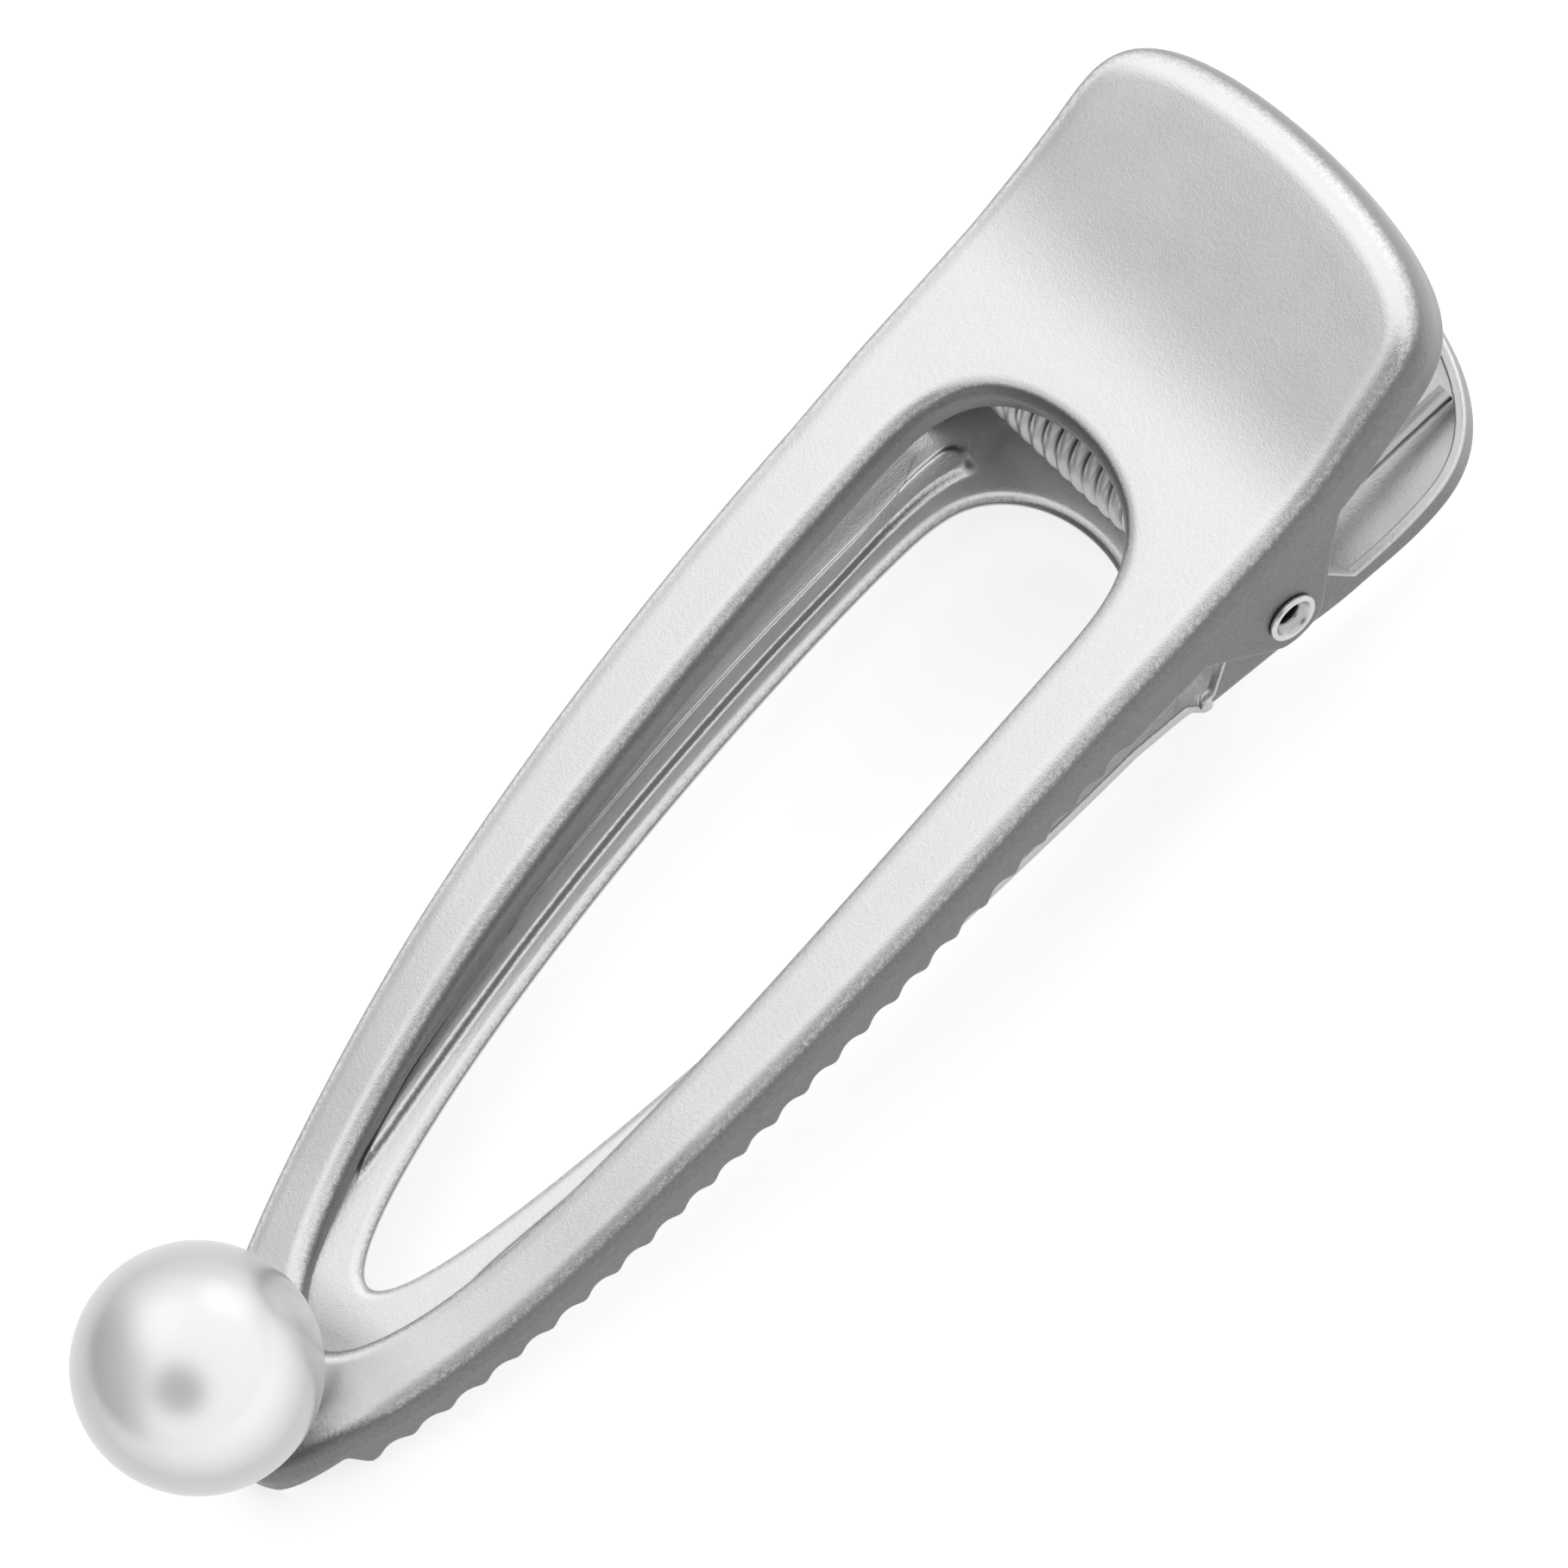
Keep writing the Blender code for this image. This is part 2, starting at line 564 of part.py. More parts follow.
def lower_jaw(parts, cutters):
    """The lower jaw: a flat frame with a rolled window lip, two ears and a dished thumb lever."""
    jaw = sheet_object("lower_jaw", lower_sections(), parts)
    edge = ear_outline()
    high = TOP_HEIGHT + OVERRUN
    lever_end = (EAR_EDGE_REACH + OVERRUN, floor_height(EAR_EDGE_REACH + OVERRUN) + LEVER_RIM_HEIGHT)
    outline = [*edge, lever_end, (lever_end[0], high), (edge[0][0], high)]
    cut(jaw, prism("ear_cutter", outline, EAR_HALF_WIDTH, cutters))
    return jaw


def hinge_rivet(parts):
    """A hollow rivet with its two ends rolled over the ears."""
    inside = RIVET_RADIUS - RIVET_WALL
    seat = EAR_HALF_WIDTH + PLAY
    crown = seat + RIVET_HEAD_HEIGHT
    roll = (RIVET_HEAD_RADIUS + inside) / 2
    half_profile = [
        (inside, crown - RIVET_WALL),
        (roll - RIVET_WALL / 2, crown),
        (roll + RIVET_WALL / 2, crown),
        (RIVET_HEAD_RADIUS, crown - RIVET_HEAD_HEIGHT / 2),
        (RIVET_HEAD_RADIUS - RIVET_WALL / 4, seat),
        (RIVET_RADIUS, seat),
    ]
    lower_half = [(radius, -height) for radius, height in half_profile[::-1]]
    rivet = turned("hinge_rivet", half_profile + lower_half, 24, parts)
    rivet.rotation_euler = (math.pi / 2, 0.0, 0.0)
    return rivet


def spring_points():
    """The wire's centre line: lower leg, coil and upper leg."""
    lower_tip = floor_height(LEG_REACH) + PLAY + WIRE_RADIUS
    upper_angle = slope_angle(top_height, LEG_REACH)
    upper_tip = top_height(LEG_REACH) - (SHEET + PLAY + WIRE_RADIUS) / math.cos(upper_angle)
    points = []
    for step in range(LEG_STEPS):
        share = step / LEG_STEPS
        x = LEG_REACH * (1 - share)
        points.append((x, -COIL_HALF_LENGTH, lower_tip + (-COIL_RADIUS - lower_tip) * share))
    steps = round(COIL_TURNS * COIL_POINTS)
    for step in range(steps + 1):
        share = step / steps
        angle = -math.pi / 2 - 2 * math.pi * COIL_TURNS * share
        along_pin = COIL_HALF_LENGTH * (2 * share - 1)
        points.append((COIL_RADIUS * math.cos(angle), along_pin, COIL_RADIUS * math.sin(angle)))
    for step in range(1, LEG_STEPS + 1):
        share = step / LEG_STEPS
        x = LEG_REACH * share
        points.append((x, COIL_HALF_LENGTH, COIL_RADIUS + (upper_tip - COIL_RADIUS) * share))
    return points


def least_gap(points):
    """Smallest gap of the wire to itself, between places at least half a turn apart."""
    wire = np.array(points)
    finer = []
    for here, there in zip(wire[:-1], wire[1:]):
        finer += [here + (there - here) * share / 4 for share in range(4)]
    finer = np.array([*finer, wire[-1]])
    length = np.concatenate([[0.0], np.cumsum(np.linalg.norm(np.diff(finer, axis=0), axis=1))])
    apart = np.abs(length[:, None] - length[None, :]) > math.pi * COIL_RADIUS
    distance = np.linalg.norm(finer[:, None, :] - finer[None, :, :], axis=2)
    return float(distance[apart].min()) - 2 * WIRE_RADIUS


def torsion_spring(parts):
    """A torsion spring of one unbroken round wire, wound round the rivet."""
    points = spring_points()
    print(f"torsion_spring: least gap to itself {least_gap(points) / MM:.3f} mm")
    curve = bpy.data.curves.new("torsion_spring_path", "CURVE")
    curve.dimensions = "3D"
    curve.bevel_depth = WIRE_RADIUS
    curve.bevel_resolution = 1
    curve.use_fill_caps = True
    spline = curve.splines.new("POLY")
    spline.points.add(len(points) - 1)
    for spot, point in zip(spline.points, points):
        spot.co = (*point, 1.0)
    wire = bpy.data.objects.new("torsion_spring", curve)
    parts.objects.link(wire)
    return wire


def on_the_nose():
    """Place and lean of the pearl's peg, square to the nose's face."""
    angle = slope_angle(top_height, -PEARL_BASE_REACH)
    return Vector((-PEARL_BASE_REACH, 0.0, top_height(-PEARL_BASE_REACH))), -angle


def pearl_cup(parts):
    """A small cup with a peg, fixed to the nose, that carries the pearl."""
    foot = PLAY
    rows = []
    centre = PEARL_STANDOFF + PEARL_RADIUS
    shell = PEARL_RADIUS + PLAY
    for share in CUP_HOLLOW_SHARES:
        radius = PEG_RADIUS + (CUP_RIM_RADIUS - PEG_RADIUS) * (1 - share)
        rows.append((radius, centre - math.sqrt(shell**2 - radius**2)))
    peg_top = PEARL_STANDOFF + PEG_LENGTH
    rim_low = rows[0][1] - CUP_WALL
    profile = [(0.0, peg_top), (PEG_RADIUS, peg_top), *rows[::-1]]
    profile += [(CUP_RIM_RADIUS, rim_low), (CUP_FOOT_RADIUS, foot), (0.0, foot)]
    return turned("pearl_cup", profile, 24, parts)


def pearl_bead(parts, cutters):
    """The pearl, bored from below for the cup's peg."""
    bpy.ops.mesh.primitive_uv_sphere_add(segments=28, ring_count=16, radius=PEARL_RADIUS)
    pearl = bpy.context.object
    pearl.name = "pearl_bead"
    for collection in list(pearl.users_collection):
        collection.objects.unlink(pearl)
    parts.objects.link(pearl)
    depth = PEG_LENGTH + PLAY
    bpy.ops.mesh.primitive_cylinder_add(vertices=16, radius=BORE_RADIUS, depth=depth + OVERRUN)
    bore = bpy.context.object
    bore.name = "pearl_bore_cutter"
    bore.parent = pearl
    bore.location.z = -PEARL_RADIUS + (depth - OVERRUN) / 2
    cut(pearl, as_cutter(bore, cutters))
    return pearl


def box_of(pieces):
    """The box round some pieces as they are evaluated, in world space."""
    graph = bpy.context.evaluated_depsgraph_get()
    corners = []
    for piece in pieces:
        shown = piece.evaluated_get(graph)
        data = shown.to_mesh()
        matrix = piece.matrix_world
        corners += [matrix @ vertex.co for vertex in data.vertices]
        shown.to_mesh_clear()
    spots = np.array([tuple(corner) for corner in corners])
    return spots.min(axis=0), spots.max(axis=0)


def main():
    for leftover in list(bpy.data.objects):
        bpy.data.objects.remove(leftover, do_unlink=True)
    parts = bpy.data.collections.new("hair_clip")
    cutters = bpy.data.collections.new("cutters")
    for collection in (parts, cutters):
        bpy.context.scene.collection.children.link(collection)

    base = bpy.data.objects.new("clip_base", None)
    pivot = bpy.data.objects.new("upper_jaw_pivot", None)
    nose = bpy.data.objects.new("pearl_seat", None)
    for empty in (base, pivot, nose):
        parts.objects.link(empty)
    pivot.parent = base
    nose.parent = pivot
    nose.location, lean = on_the_nose()
    nose.rotation_euler = (0.0, lean, 0.0)

    upper = upper_jaw(parts, cutters)
    lower = lower_jaw(parts, cutters)
    holes = pin_cutter(
        "pin_hole_cutter", RIVET_RADIUS + RIVET_HOLE_PLAY, EAR_HALF_WIDTH + OVERRUN, cutters
    )
    holes.parent = base
    for jaw in (upper, lower):
        cut(jaw, holes)
    rivet = hinge_rivet(parts)
    spring = torsion_spring(parts)
    cup = pearl_cup(parts)
    pearl = pearl_bead(parts, cutters)
    pearl.location.z = PEARL_STANDOFF + PEARL_RADIUS

    upper.parent = pivot
    for piece in (lower, rivet, spring):
        piece.parent = base
    for piece in (cup, pearl):
        piece.parent = nose
    bpy.data.objects["rim_cutter"].parent = pivot
    bpy.data.objects["ear_cutter"].parent = base

    material(upper, (0.86, 0.86, 0.87), 0.32, 1.0)
    material(lower, (0.8, 0.8, 0.82), 0.34, 1.0)
    material(rivet, (0.78, 0.78, 0.8), 0.2, 1.0)
    material(spring, (0.6, 0.6, 0.62), 0.3, 1.0)
    material(cup, (0.78, 0.78, 0.8), 0.3, 1.0)
    material(pearl, (0.92, 0.91, 0.89), 0.12, 0.0)

    pearl.data.shade_smooth()
    bpy.context.view_layer.update()
    low, high = box_of([upper, lower, rivet, spring, cup, pearl])
    base.location = (-(low[0] + high[0]) / 2, 0.0, -low[2])
    bpy.context.view_layer.update()
    pin = base.matrix_world.translation
    print(f"pin at x {pin.x / MM:.3f} mm, z {pin.z / MM:.3f} mm; box {(high - low) / MM} mm")


main()
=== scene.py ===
# %% [markdown]
# # A stamped hair clip with a pearl on its nose
#
# The real clip is two jaws pressed from half-millimetre plated sheet, turned against each other
# on a hollow rivet and pushed shut by a torsion spring; a pearl sits on the upper nose.
#
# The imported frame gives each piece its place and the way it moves. What it lacks is the fine
# surface: soft press-formed folds, deburred edges, a close-wound coil and the satin plating. A
# subdivided frame would keep its facets, so every piece is built again from its curves, finer.

# %% Load the frame and keep its size
import json
import math

import bmesh
import bpy
import numpy as np
from mathutils import Matrix, Vector


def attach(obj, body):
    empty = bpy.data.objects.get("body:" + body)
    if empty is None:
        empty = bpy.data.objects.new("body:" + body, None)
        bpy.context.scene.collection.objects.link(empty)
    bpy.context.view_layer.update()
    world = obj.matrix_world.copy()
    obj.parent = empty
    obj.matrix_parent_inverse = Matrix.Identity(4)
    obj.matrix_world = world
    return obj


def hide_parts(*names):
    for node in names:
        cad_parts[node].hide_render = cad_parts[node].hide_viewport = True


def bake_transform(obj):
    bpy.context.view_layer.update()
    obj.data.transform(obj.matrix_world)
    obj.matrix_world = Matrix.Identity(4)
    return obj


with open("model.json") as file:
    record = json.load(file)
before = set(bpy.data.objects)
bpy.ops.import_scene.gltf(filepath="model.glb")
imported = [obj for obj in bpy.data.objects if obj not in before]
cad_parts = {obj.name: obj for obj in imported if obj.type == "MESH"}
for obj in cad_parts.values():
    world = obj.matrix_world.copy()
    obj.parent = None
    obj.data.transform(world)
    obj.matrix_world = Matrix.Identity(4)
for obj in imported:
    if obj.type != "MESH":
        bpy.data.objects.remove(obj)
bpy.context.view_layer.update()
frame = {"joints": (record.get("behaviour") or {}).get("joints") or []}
MM = 0.001
PIN = Vector(frame["joints"][0]["pos_m"])

# %% [markdown]
# ## The rules behind the stamping
#
# Everything is measured in millimetres from the hinge pin: X runs from the nose (-X) to the thumb
# levers (+X), Y along the pin, Z up. Two height curves carry both jaws. A press tool bends sheet
# in smooth arcs, so each bend in them is a parabola between two straight runs, and not a corner.
# A bow and the nose's curl are given by their radius, a bend by its place and its change of slope.

# %% Height curves of the two jaws
SHEET = 0.5
HALF = SHEET / 2
NOSE_REACH = 52.4
LEVER_REACH = 13.65
EAR_REACH = 4.0
NOSE_CURL = 9
TOP_OVER_PIN, TOP_TILT, TOP_BOW, TOP_NOSE = 5.0, 0.05, 280, 46.0
LEVER_BEND, LEVER_BEND_HALF, LEVER_TILT = 3.95, 2.2, 0.26
FLOOR_OVER_PIN, FLOOR_CREST, FLOOR_BOW, FLOOR_NOSE = -0.4, 29.0, 228, 44.0
BOW_END = -13.0
DIP_START, DIP_TILT = 5.4, 0.22
LEVEL_START, LEVEL_TILT = 1.6, 0.28
FLOOR_BEND_HALF = 0.8


def ramp(distance, half):
    """Zero before a bend, the distance after it, and a parabola between -half and half."""
    inside = (distance + half) ** 2 / (4 * half)
    return np.where(distance <= -half, 0.0, np.where(distance >= half, distance, inside))


def top_height(x):
    """Height of the upper jaw's top face."""
    bow = np.minimum(0.0, x + EAR_REACH) ** 2 / (2 * TOP_BOW)
    nose = np.minimum(0.0, x + TOP_NOSE) ** 2 / (2 * NOSE_CURL)
    lever = LEVER_TILT * ramp(x - LEVER_BEND, LEVER_BEND_HALF)
    return TOP_OVER_PIN + TOP_TILT * x - bow - nose + lever


def floor_height(x):
    """Height of the lower jaw's upper face."""
    bowed = np.minimum(x, BOW_END)
    bow = (bowed + FLOOR_CREST) ** 2 / (2 * FLOOR_BOW)
    straight = (BOW_END + FLOOR_CREST) / FLOOR_BOW * (x - bowed)
    nose = np.minimum(0.0, x + FLOOR_NOSE) ** 2 / (2 * NOSE_CURL)
    dip = DIP_TILT * ramp(x + DIP_START, FLOOR_BEND_HALF)
    level = LEVEL_TILT * ramp(x - LEVEL_START, FLOOR_BEND_HALF)
    return FLOOR_OVER_PIN - bow - nose - straight - dip + level


def slope(height, x):
    """Slope of a height curve, as an angle."""
    return np.arctan2(height(x + 0.05) - height(x - 0.05), 0.1)


def smooth(value, low, high):
    """A soft step from 0 at low to 1 at high."""
    share = np.clip((value - low) / (high - low), 0.0, 1.0)
    return share * share * (3 - 2 * share)


print("at the pin: top", float(top_height(0.0)), "floor", round(float(floor_height(0.0)), 3))

# %% [markdown]
# ## Outlines
#
# Each jaw is a loop of sheet between two outlines, the drop-shaped window and the outer edge. Both
# are ovals with flatter sides than an ellipse has, which a superellipse gives with one number for
# its squareness. One half is enough: the clip is even.


# %% Outlines as dense runs of points, divided into matching stations
WAIST = 8.0
BODY_HALF, EAR_HALF, LEVER_HALF = 9.7, 9.8, 9.75
LEVER_ROOT = 7.0


def oval(root, reach, half_width, power):
    """Half of a superellipse, from its far end on the centre line to full width at its root."""
    angle = np.linspace(0.0, math.pi / 2, 1200)
    across = half_width * np.sin(angle)
    return np.array([root + reach * np.cos(angle) ** (2 / power), across]).T


def joined(*runs):
    """One outline from several runs, with doubled points left out."""
    line = np.concatenate(runs)
    keep = np.concatenate([[True], np.hypot(*np.diff(line, axis=0).T) > 1e-4])
    return line[keep]


def divided(line, marks, counts):
    """Stations and their outward normals: equal steps between marks, given as places along X."""
    length = np.concatenate([[0.0], np.cumsum(np.hypot(*np.diff(line, axis=0).T))])
    ends = [0.0]
    for mark in marks:
        ends.append(length[int(np.argmax(line[:, 0] >= mark))])
    ends.append(length[-1])
    places = [0.0]
    for start, end, count in zip(ends[:-1], ends[1:], counts):
        places += list(start + (end - start) * (np.arange(count) + 1) / count)
    step = 0.15
    points, ahead, behind = (
        np.array([np.interp(np.array(places) + shift, length, line[:, k]) for k in (0, 1)]).T
        for shift in (0.0, step, -step)
    )
    tangent = ahead - behind
    normal = np.array([-tangent[:, 1], tangent[:, 0]]).T
    normal[0], normal[-1] = (-1.0, 0.0), (1.0, 0.0)
    return points, normal / np.linalg.norm(normal, axis=1, keepdims=True)


def window(front, rear, waist, half_width, front_power, rear_power):
    """Half of a drop-shaped window, from its front end to its rear end."""
    nose_run = oval(-waist, waist - front, half_width, front_power)
    return joined(nose_run, oval(-waist, waist - rear, half_width, rear_power)[::-1])


upper_edge = joined(
    oval(-WAIST, WAIST - NOSE_REACH, BODY_HALF, 2.0),
    np.array([(-EAR_REACH, EAR_HALF), (LEVER_BEND, EAR_HALF)]),
    oval(LEVER_ROOT, LEVER_REACH - LEVER_ROOT, LEVER_HALF, 4.5)[::-1],
)
upper_window = window(
    front=46.9, rear=0.05, waist=WAIST, half_width=6.4, front_power=3.0, rear_power=3.5
)
print("upper outline", len(upper_edge), "points, window", len(upper_window), "points")

# %% [markdown]
# ## From a section to a sheet
#
# A stamped jaw is one folded strip: at each station along the outline the middle of the sheet
# runs from the window's lip, over the face, round the fold and down the flank. Lofting those
# sections gives the middle surface. Pushing it half a sheet both ways, with a rounded strip over
# the cut edges, gives the metal its thickness. Solidify would leave square edges; the deburred
# edge is what catches the thin bright line along every rim in the photo.


# %% Sections and the sheet made from them
EDGE_ROUND = 0.13
LEAST_LIP, LEAST_WALL = 0.05, 0.06


def fold(base, out, down, radius, points):
    """Points of an arc that leaves base along out and turns to down."""
    turn = np.arccos(np.clip((out * down).sum(-1), -1, 1))[:, None]
    across = down - out * (out * down).sum(-1, keepdims=True)
    across /= np.linalg.norm(across, axis=-1, keepdims=True)
    arc = []
    for step in range(1, points + 1):
        angle = turn * step / points
        arc.append(base + radius * (out * np.sin(angle) + across * (1 - np.cos(angle))))
    return np.stack(arc, axis=1)


def run_on(start, direction, length, shares):
    """Points of a straight run that goes on from start."""
    shares = np.asarray(shares)[None, :, None]
    return start[:, None, :] + direction[:, None, :] * length[:, None, None] * shares


def both_sides(half):
    """The whole ring of sections or weights, from one half mirrored at the centre plane."""
    other = half[-2:0:-1].copy()
    if other.ndim == 3:
        other[..., 1] *= -1
    return np.concatenate([half, other])


def unit(vectors):
    """Vectors scaled to a length of one."""
    return vectors / np.maximum(np.linalg.norm(vectors, axis=-1, keepdims=True), 1e-12)


def whole(lip_run, lip_arc, lip_base, across, base, *wall):
    """Whole sections, from the lip's cut edge to the wall's, with both ends on the centre plane."""
    lip = np.concatenate([lip_arc, lip_run], axis=1)[:, ::-1]
    rows = [lip, lip_base[:, None, :], across, base[:, None, :], *wall]
    middle = np.concatenate(rows, axis=1)
    middle[0, :, 1] = middle[-1, :, 1] = 0.0
    return middle


def linked(name, data):
    """A new object in the scene."""
    piece = bpy.data.objects.new(name, data)
    bpy.context.scene.collection.objects.link(piece)
    return piece


def sheet_mesh(name, middle, weights):
    """A closed mesh of the sheet round a ring of middle sections, with weights as attributes."""
    along = np.roll(middle, -1, 0) - np.roll(middle, 1, 0)
    across = np.gradient(middle, axis=1)
    normal = unit(np.cross(along, across))
    if normal[:, middle.shape[1] // 2, 2].mean() < 0:
        normal = -normal
    first, last = -unit(across[:, 0]), unit(across[:, -1])
    inner = HALF - EDGE_ROUND

    def cap(place, tangent, up, signs):
        """The rounded strip that closes a cut edge, from one face of the sheet to the other."""
        rows = []
        for side, angles in signs:
            for angle in angles:
                lift = side * (inner + EDGE_ROUND * math.cos(math.radians(angle)))
                ahead = EDGE_ROUND * math.sin(math.radians(angle))
                rows.append(place + up * lift + tangent * ahead)
        return np.stack(rows, axis=1)

    turn = ((1, (30, 60, 90)), (-1, (90, 60, 30)))
    back = ((-1, (30, 60, 90)), (1, (90, 60, 30)))
    loop = np.concatenate([
        middle + normal * HALF,
        cap(middle[:, -1], last, normal[:, -1], turn),
        (middle - normal * HALF)[:, ::-1],
        cap(middle[:, 0], first, normal[:, 0], back),
    ], axis=1)
    stations, around = loop.shape[:2]
    i, j = np.arange(stations)[:, None], np.arange(around)[None, :]
    after_i, after_j = (i + 1) % stations, (j + 1) % around
    row, next_row = i * around, after_i * around
    corners = (row + j, next_row + j, next_row + after_j, row + after_j)
    faces = np.stack(np.broadcast_arrays(*corners), axis=-1).reshape(-1, 4)
    data = bpy.data.meshes.new(name)
    data.from_pydata((loop.reshape(-1, 3) * MM).tolist(), [], faces.tolist())
    ones = np.ones((stations, 6))
    weights = dict(weights, edge=np.zeros(middle.shape[:2]))
    for key, value in weights.items():
        ends = (ones, ones) if key == "edge" else (value[:, -1:] * ones, value[:, :1] * ones)
        ring = np.concatenate([value, ends[0], value[:, ::-1], ends[1]], axis=1)
        data.attributes.new(key, "FLOAT", "POINT").data.foreach_set("value", ring.reshape(-1))
    mesh = bmesh.new()
    mesh.from_mesh(data)
    bmesh.ops.recalc_face_normals(mesh, faces=mesh.faces)
    mesh.to_mesh(data)
    mesh.free()
    print(name, "loft:", stations, "sections of", around, "points")
    return linked(name, data)


# %% [markdown]
# ## Upper jaw, sections
#
# The flank's rim is one outline seen from the side: plain towards the nose, deeper at the ears,
# an arc round the pin, then the lever's straight rim. Its depth sets how far each section runs
# down. The fold is tight on the body and opens out on the lever, where the thumb presses.


# %% Upper jaw, sections
FLANK_DEPTH, EAR_EXTRA, LEVER_DEPTH, NOSE_DEPTH = 2.4, 0.4, 2.5, 1.15
UPPER_EAR_RADIUS, UPPER_EAR_FRONT, UPPER_EAR_REAR = 1.85, 54, 59
RIM_ROOT, RIM_REACH = 4.069, 15.65
NOSE_FOLD, BODY_FOLD_GAIN, LEVER_FOLD_GAIN = 0.72, 0.13, 0.25
LIP_RADIUS, LIP_SETBACK, LIP_DEPTH, LIP_CLEARANCE = 0.6, 0.35, 1.7, 0.8
CROWN = 0.012
LEVER_LEAN = 0.2
GROUND_GAP = 0.01


def lobe(radius, front, rear, side):
    """An arc round the pin between two edges, each given by how steep it is in degrees."""
    angle = np.linspace(math.radians(180 + front), math.radians(360 - rear), 40)
    return np.array([radius * np.cos(angle), side * radius * np.sin(angle)]).T


def upper_rim():
    """Height of the upper rim against X, before it is toothed."""
    x = np.linspace(-48.6, -4.7, 400)
    depth = FLANK_DEPTH + EAR_EXTRA * np.clip((x + 8.2) / 4.2, 0.0, 1.0)
    arc = lobe(UPPER_EAR_RADIUS, UPPER_EAR_FRONT, UPPER_EAR_REAR, 1.0)
    hinge_rim = float(top_height(-EAR_REACH)) - (FLANK_DEPTH + EAR_EXTRA)
    front_x = arc[0, 0] - (hinge_rim - arc[0, 1]) / math.tan(math.radians(UPPER_EAR_FRONT))
    rear = np.linspace(RIM_ROOT, RIM_REACH, 60)
    rear_z = top_height(rear) - LEVER_DEPTH / np.cos(slope(top_height, rear))
    plain = np.array([x, top_height(x) - depth]).T
    return joined(plain, [(front_x, hinge_rim)], arc, np.array([rear, rear_z]).T)


def upper_middle():
    """Half sections of the upper jaw's middle surface, with each point's share of the teeth."""
    counts = (64, 272, 64, 82)
    outer, out_normal = divided(upper_edge, (-44.2, -WAIST, 0.99), counts)
    inner, in_normal = divided(upper_window, (-43.7, -WAIST, -3.25), counts)
    in_normal = -in_normal
    x = outer[:, 0]
    radius = NOSE_FOLD + BODY_FOLD_GAIN * smooth(x, -48.0, -45.0)
    radius = radius + LEVER_FOLD_GAIN * smooth(x, 4.0, 8.5)
    start = inner - in_normal * (LIP_RADIUS - LIP_SETBACK)
    end = outer - out_normal * (radius + HALF)[:, None]

    def face(point):
        crown = CROWN * point[:, 1] ** 2 * (1 - smooth(point[:, 0], -44.0, -30.0))
        return np.column_stack([point, top_height(point[:, 0]) - HALF - crown])

    down = np.tile((0.0, 0.0, -1.0), (len(x), 1))
    lip_out = np.column_stack([in_normal, np.zeros(len(x))])
    lip_base = face(start)
    lip_arc = fold(lip_base, lip_out, down, LIP_RADIUS, 10)
    room = top_height(start[:, 0]) - floor_height(start[:, 0]) - LIP_CLEARANCE
    lip_length = np.minimum(LIP_DEPTH, room) - LIP_RADIUS - HALF - EDGE_ROUND
    lip_run = run_on(lip_arc[:, -1], down, np.maximum(lip_length, LEAST_LIP), (0.3, 0.6, 1.0))
    share = np.linspace(0.0, 1.0, 14)[1:-1]
    across = np.stack([face(start + (end - start) * s) for s in share], axis=1)
    angle = slope(top_height, end[:, 0])
    lean = np.where(end[:, 0] > 0, LEVER_LEAN * angle, 0.0)
    inward = np.column_stack([np.sin(lean), np.zeros(len(x)), -np.cos(lean)])
    out = unit(np.column_stack([
        np.cos(angle) * out_normal[:, 0], out_normal[:, 1], np.sin(angle) * out_normal[:, 0]
    ]))
    base = face(end)
    arc = fold(base, out, inward, radius[:, None], 10)
    rim = upper_rim()
    toothed = smooth(x, -48.9, -48.1)
    plain = np.interp(x, rim[:, 0], rim[:, 1])
    rim_z = plain * toothed + (top_height(x) - NOSE_DEPTH) * (1 - toothed)
    length = np.maximum((arc[:, -1, 2] - rim_z) / -inward[:, 2] - EDGE_ROUND, LEAST_WALL)
    shares = np.linspace(0.0, 1.0, 9)[1:]
    flank = np.concatenate([arc, run_on(arc[:, -1], inward, length, shares)], axis=1)
    # A flank that would hang below the frame's box is scaled up into the room that it has.
    room_below = base[:, 2] - (EDGE_ROUND + GROUND_GAP - PIN.z / MM)
    kept = np.minimum(1.0, room_below / (base[:, 2] - flank[:, -1, 2]))
    flank[..., 2] = base[:, None, 2] + (flank[..., 2] - base[:, None, 2]) * kept[:, None]
    middle = whole(lip_run, lip_arc, lip_base, across, base, flank)
    weight = np.zeros(middle.shape[:2])
    weight[:, -1 - len(shares):] = toothed[:, None] * np.concatenate([[0.0], shares])[None, :]
    return middle, weight


upper_sections, upper_weight = upper_middle()
upper = sheet_mesh("upper_jaw_shell", both_sides(upper_sections), {"rim": both_sides(upper_weight)})

# %% [markdown]
# ## Toothed rim by Geometry Nodes
#
# The small teeth that grip the hair are one wave along the rim, leaning a little like a saw. In a
# node tree, with its pitch, height and lean as inputs, it could cut a finer or a deeper comb too.
# It moves each point by its share of the flank, so the face and the fold stay as they are.


# %% Node helpers and the toothed rim
NUMBER = "NodeSocketFloat"


def fill(tree, node, ins):
    """Fill a node's inputs, each with a value or a link."""
    for key, value in ins.items():
        if isinstance(value, bpy.types.NodeSocket):
            tree.links.new(value, node.inputs[key])
        else:
            node.inputs[key].default_value = value


def add(tree, kind, ins=None, **settings):
    """Add a node, set its fields and fill its inputs."""
    node = tree.nodes.new(kind)
    for key, value in settings.items():
        setattr(node, key, value)
    fill(tree, node, ins or {})
    return node


def maths(tree, operation, first, second=0.0, third=0.0):
    """A maths node's output."""
    ins = {0: first, 1: second, 2: third}
    return add(tree, "ShaderNodeMath", ins, operation=operation).outputs[0]


def times(tree, first, second):
    """A product."""
    return maths(tree, "MULTIPLY", first, second)


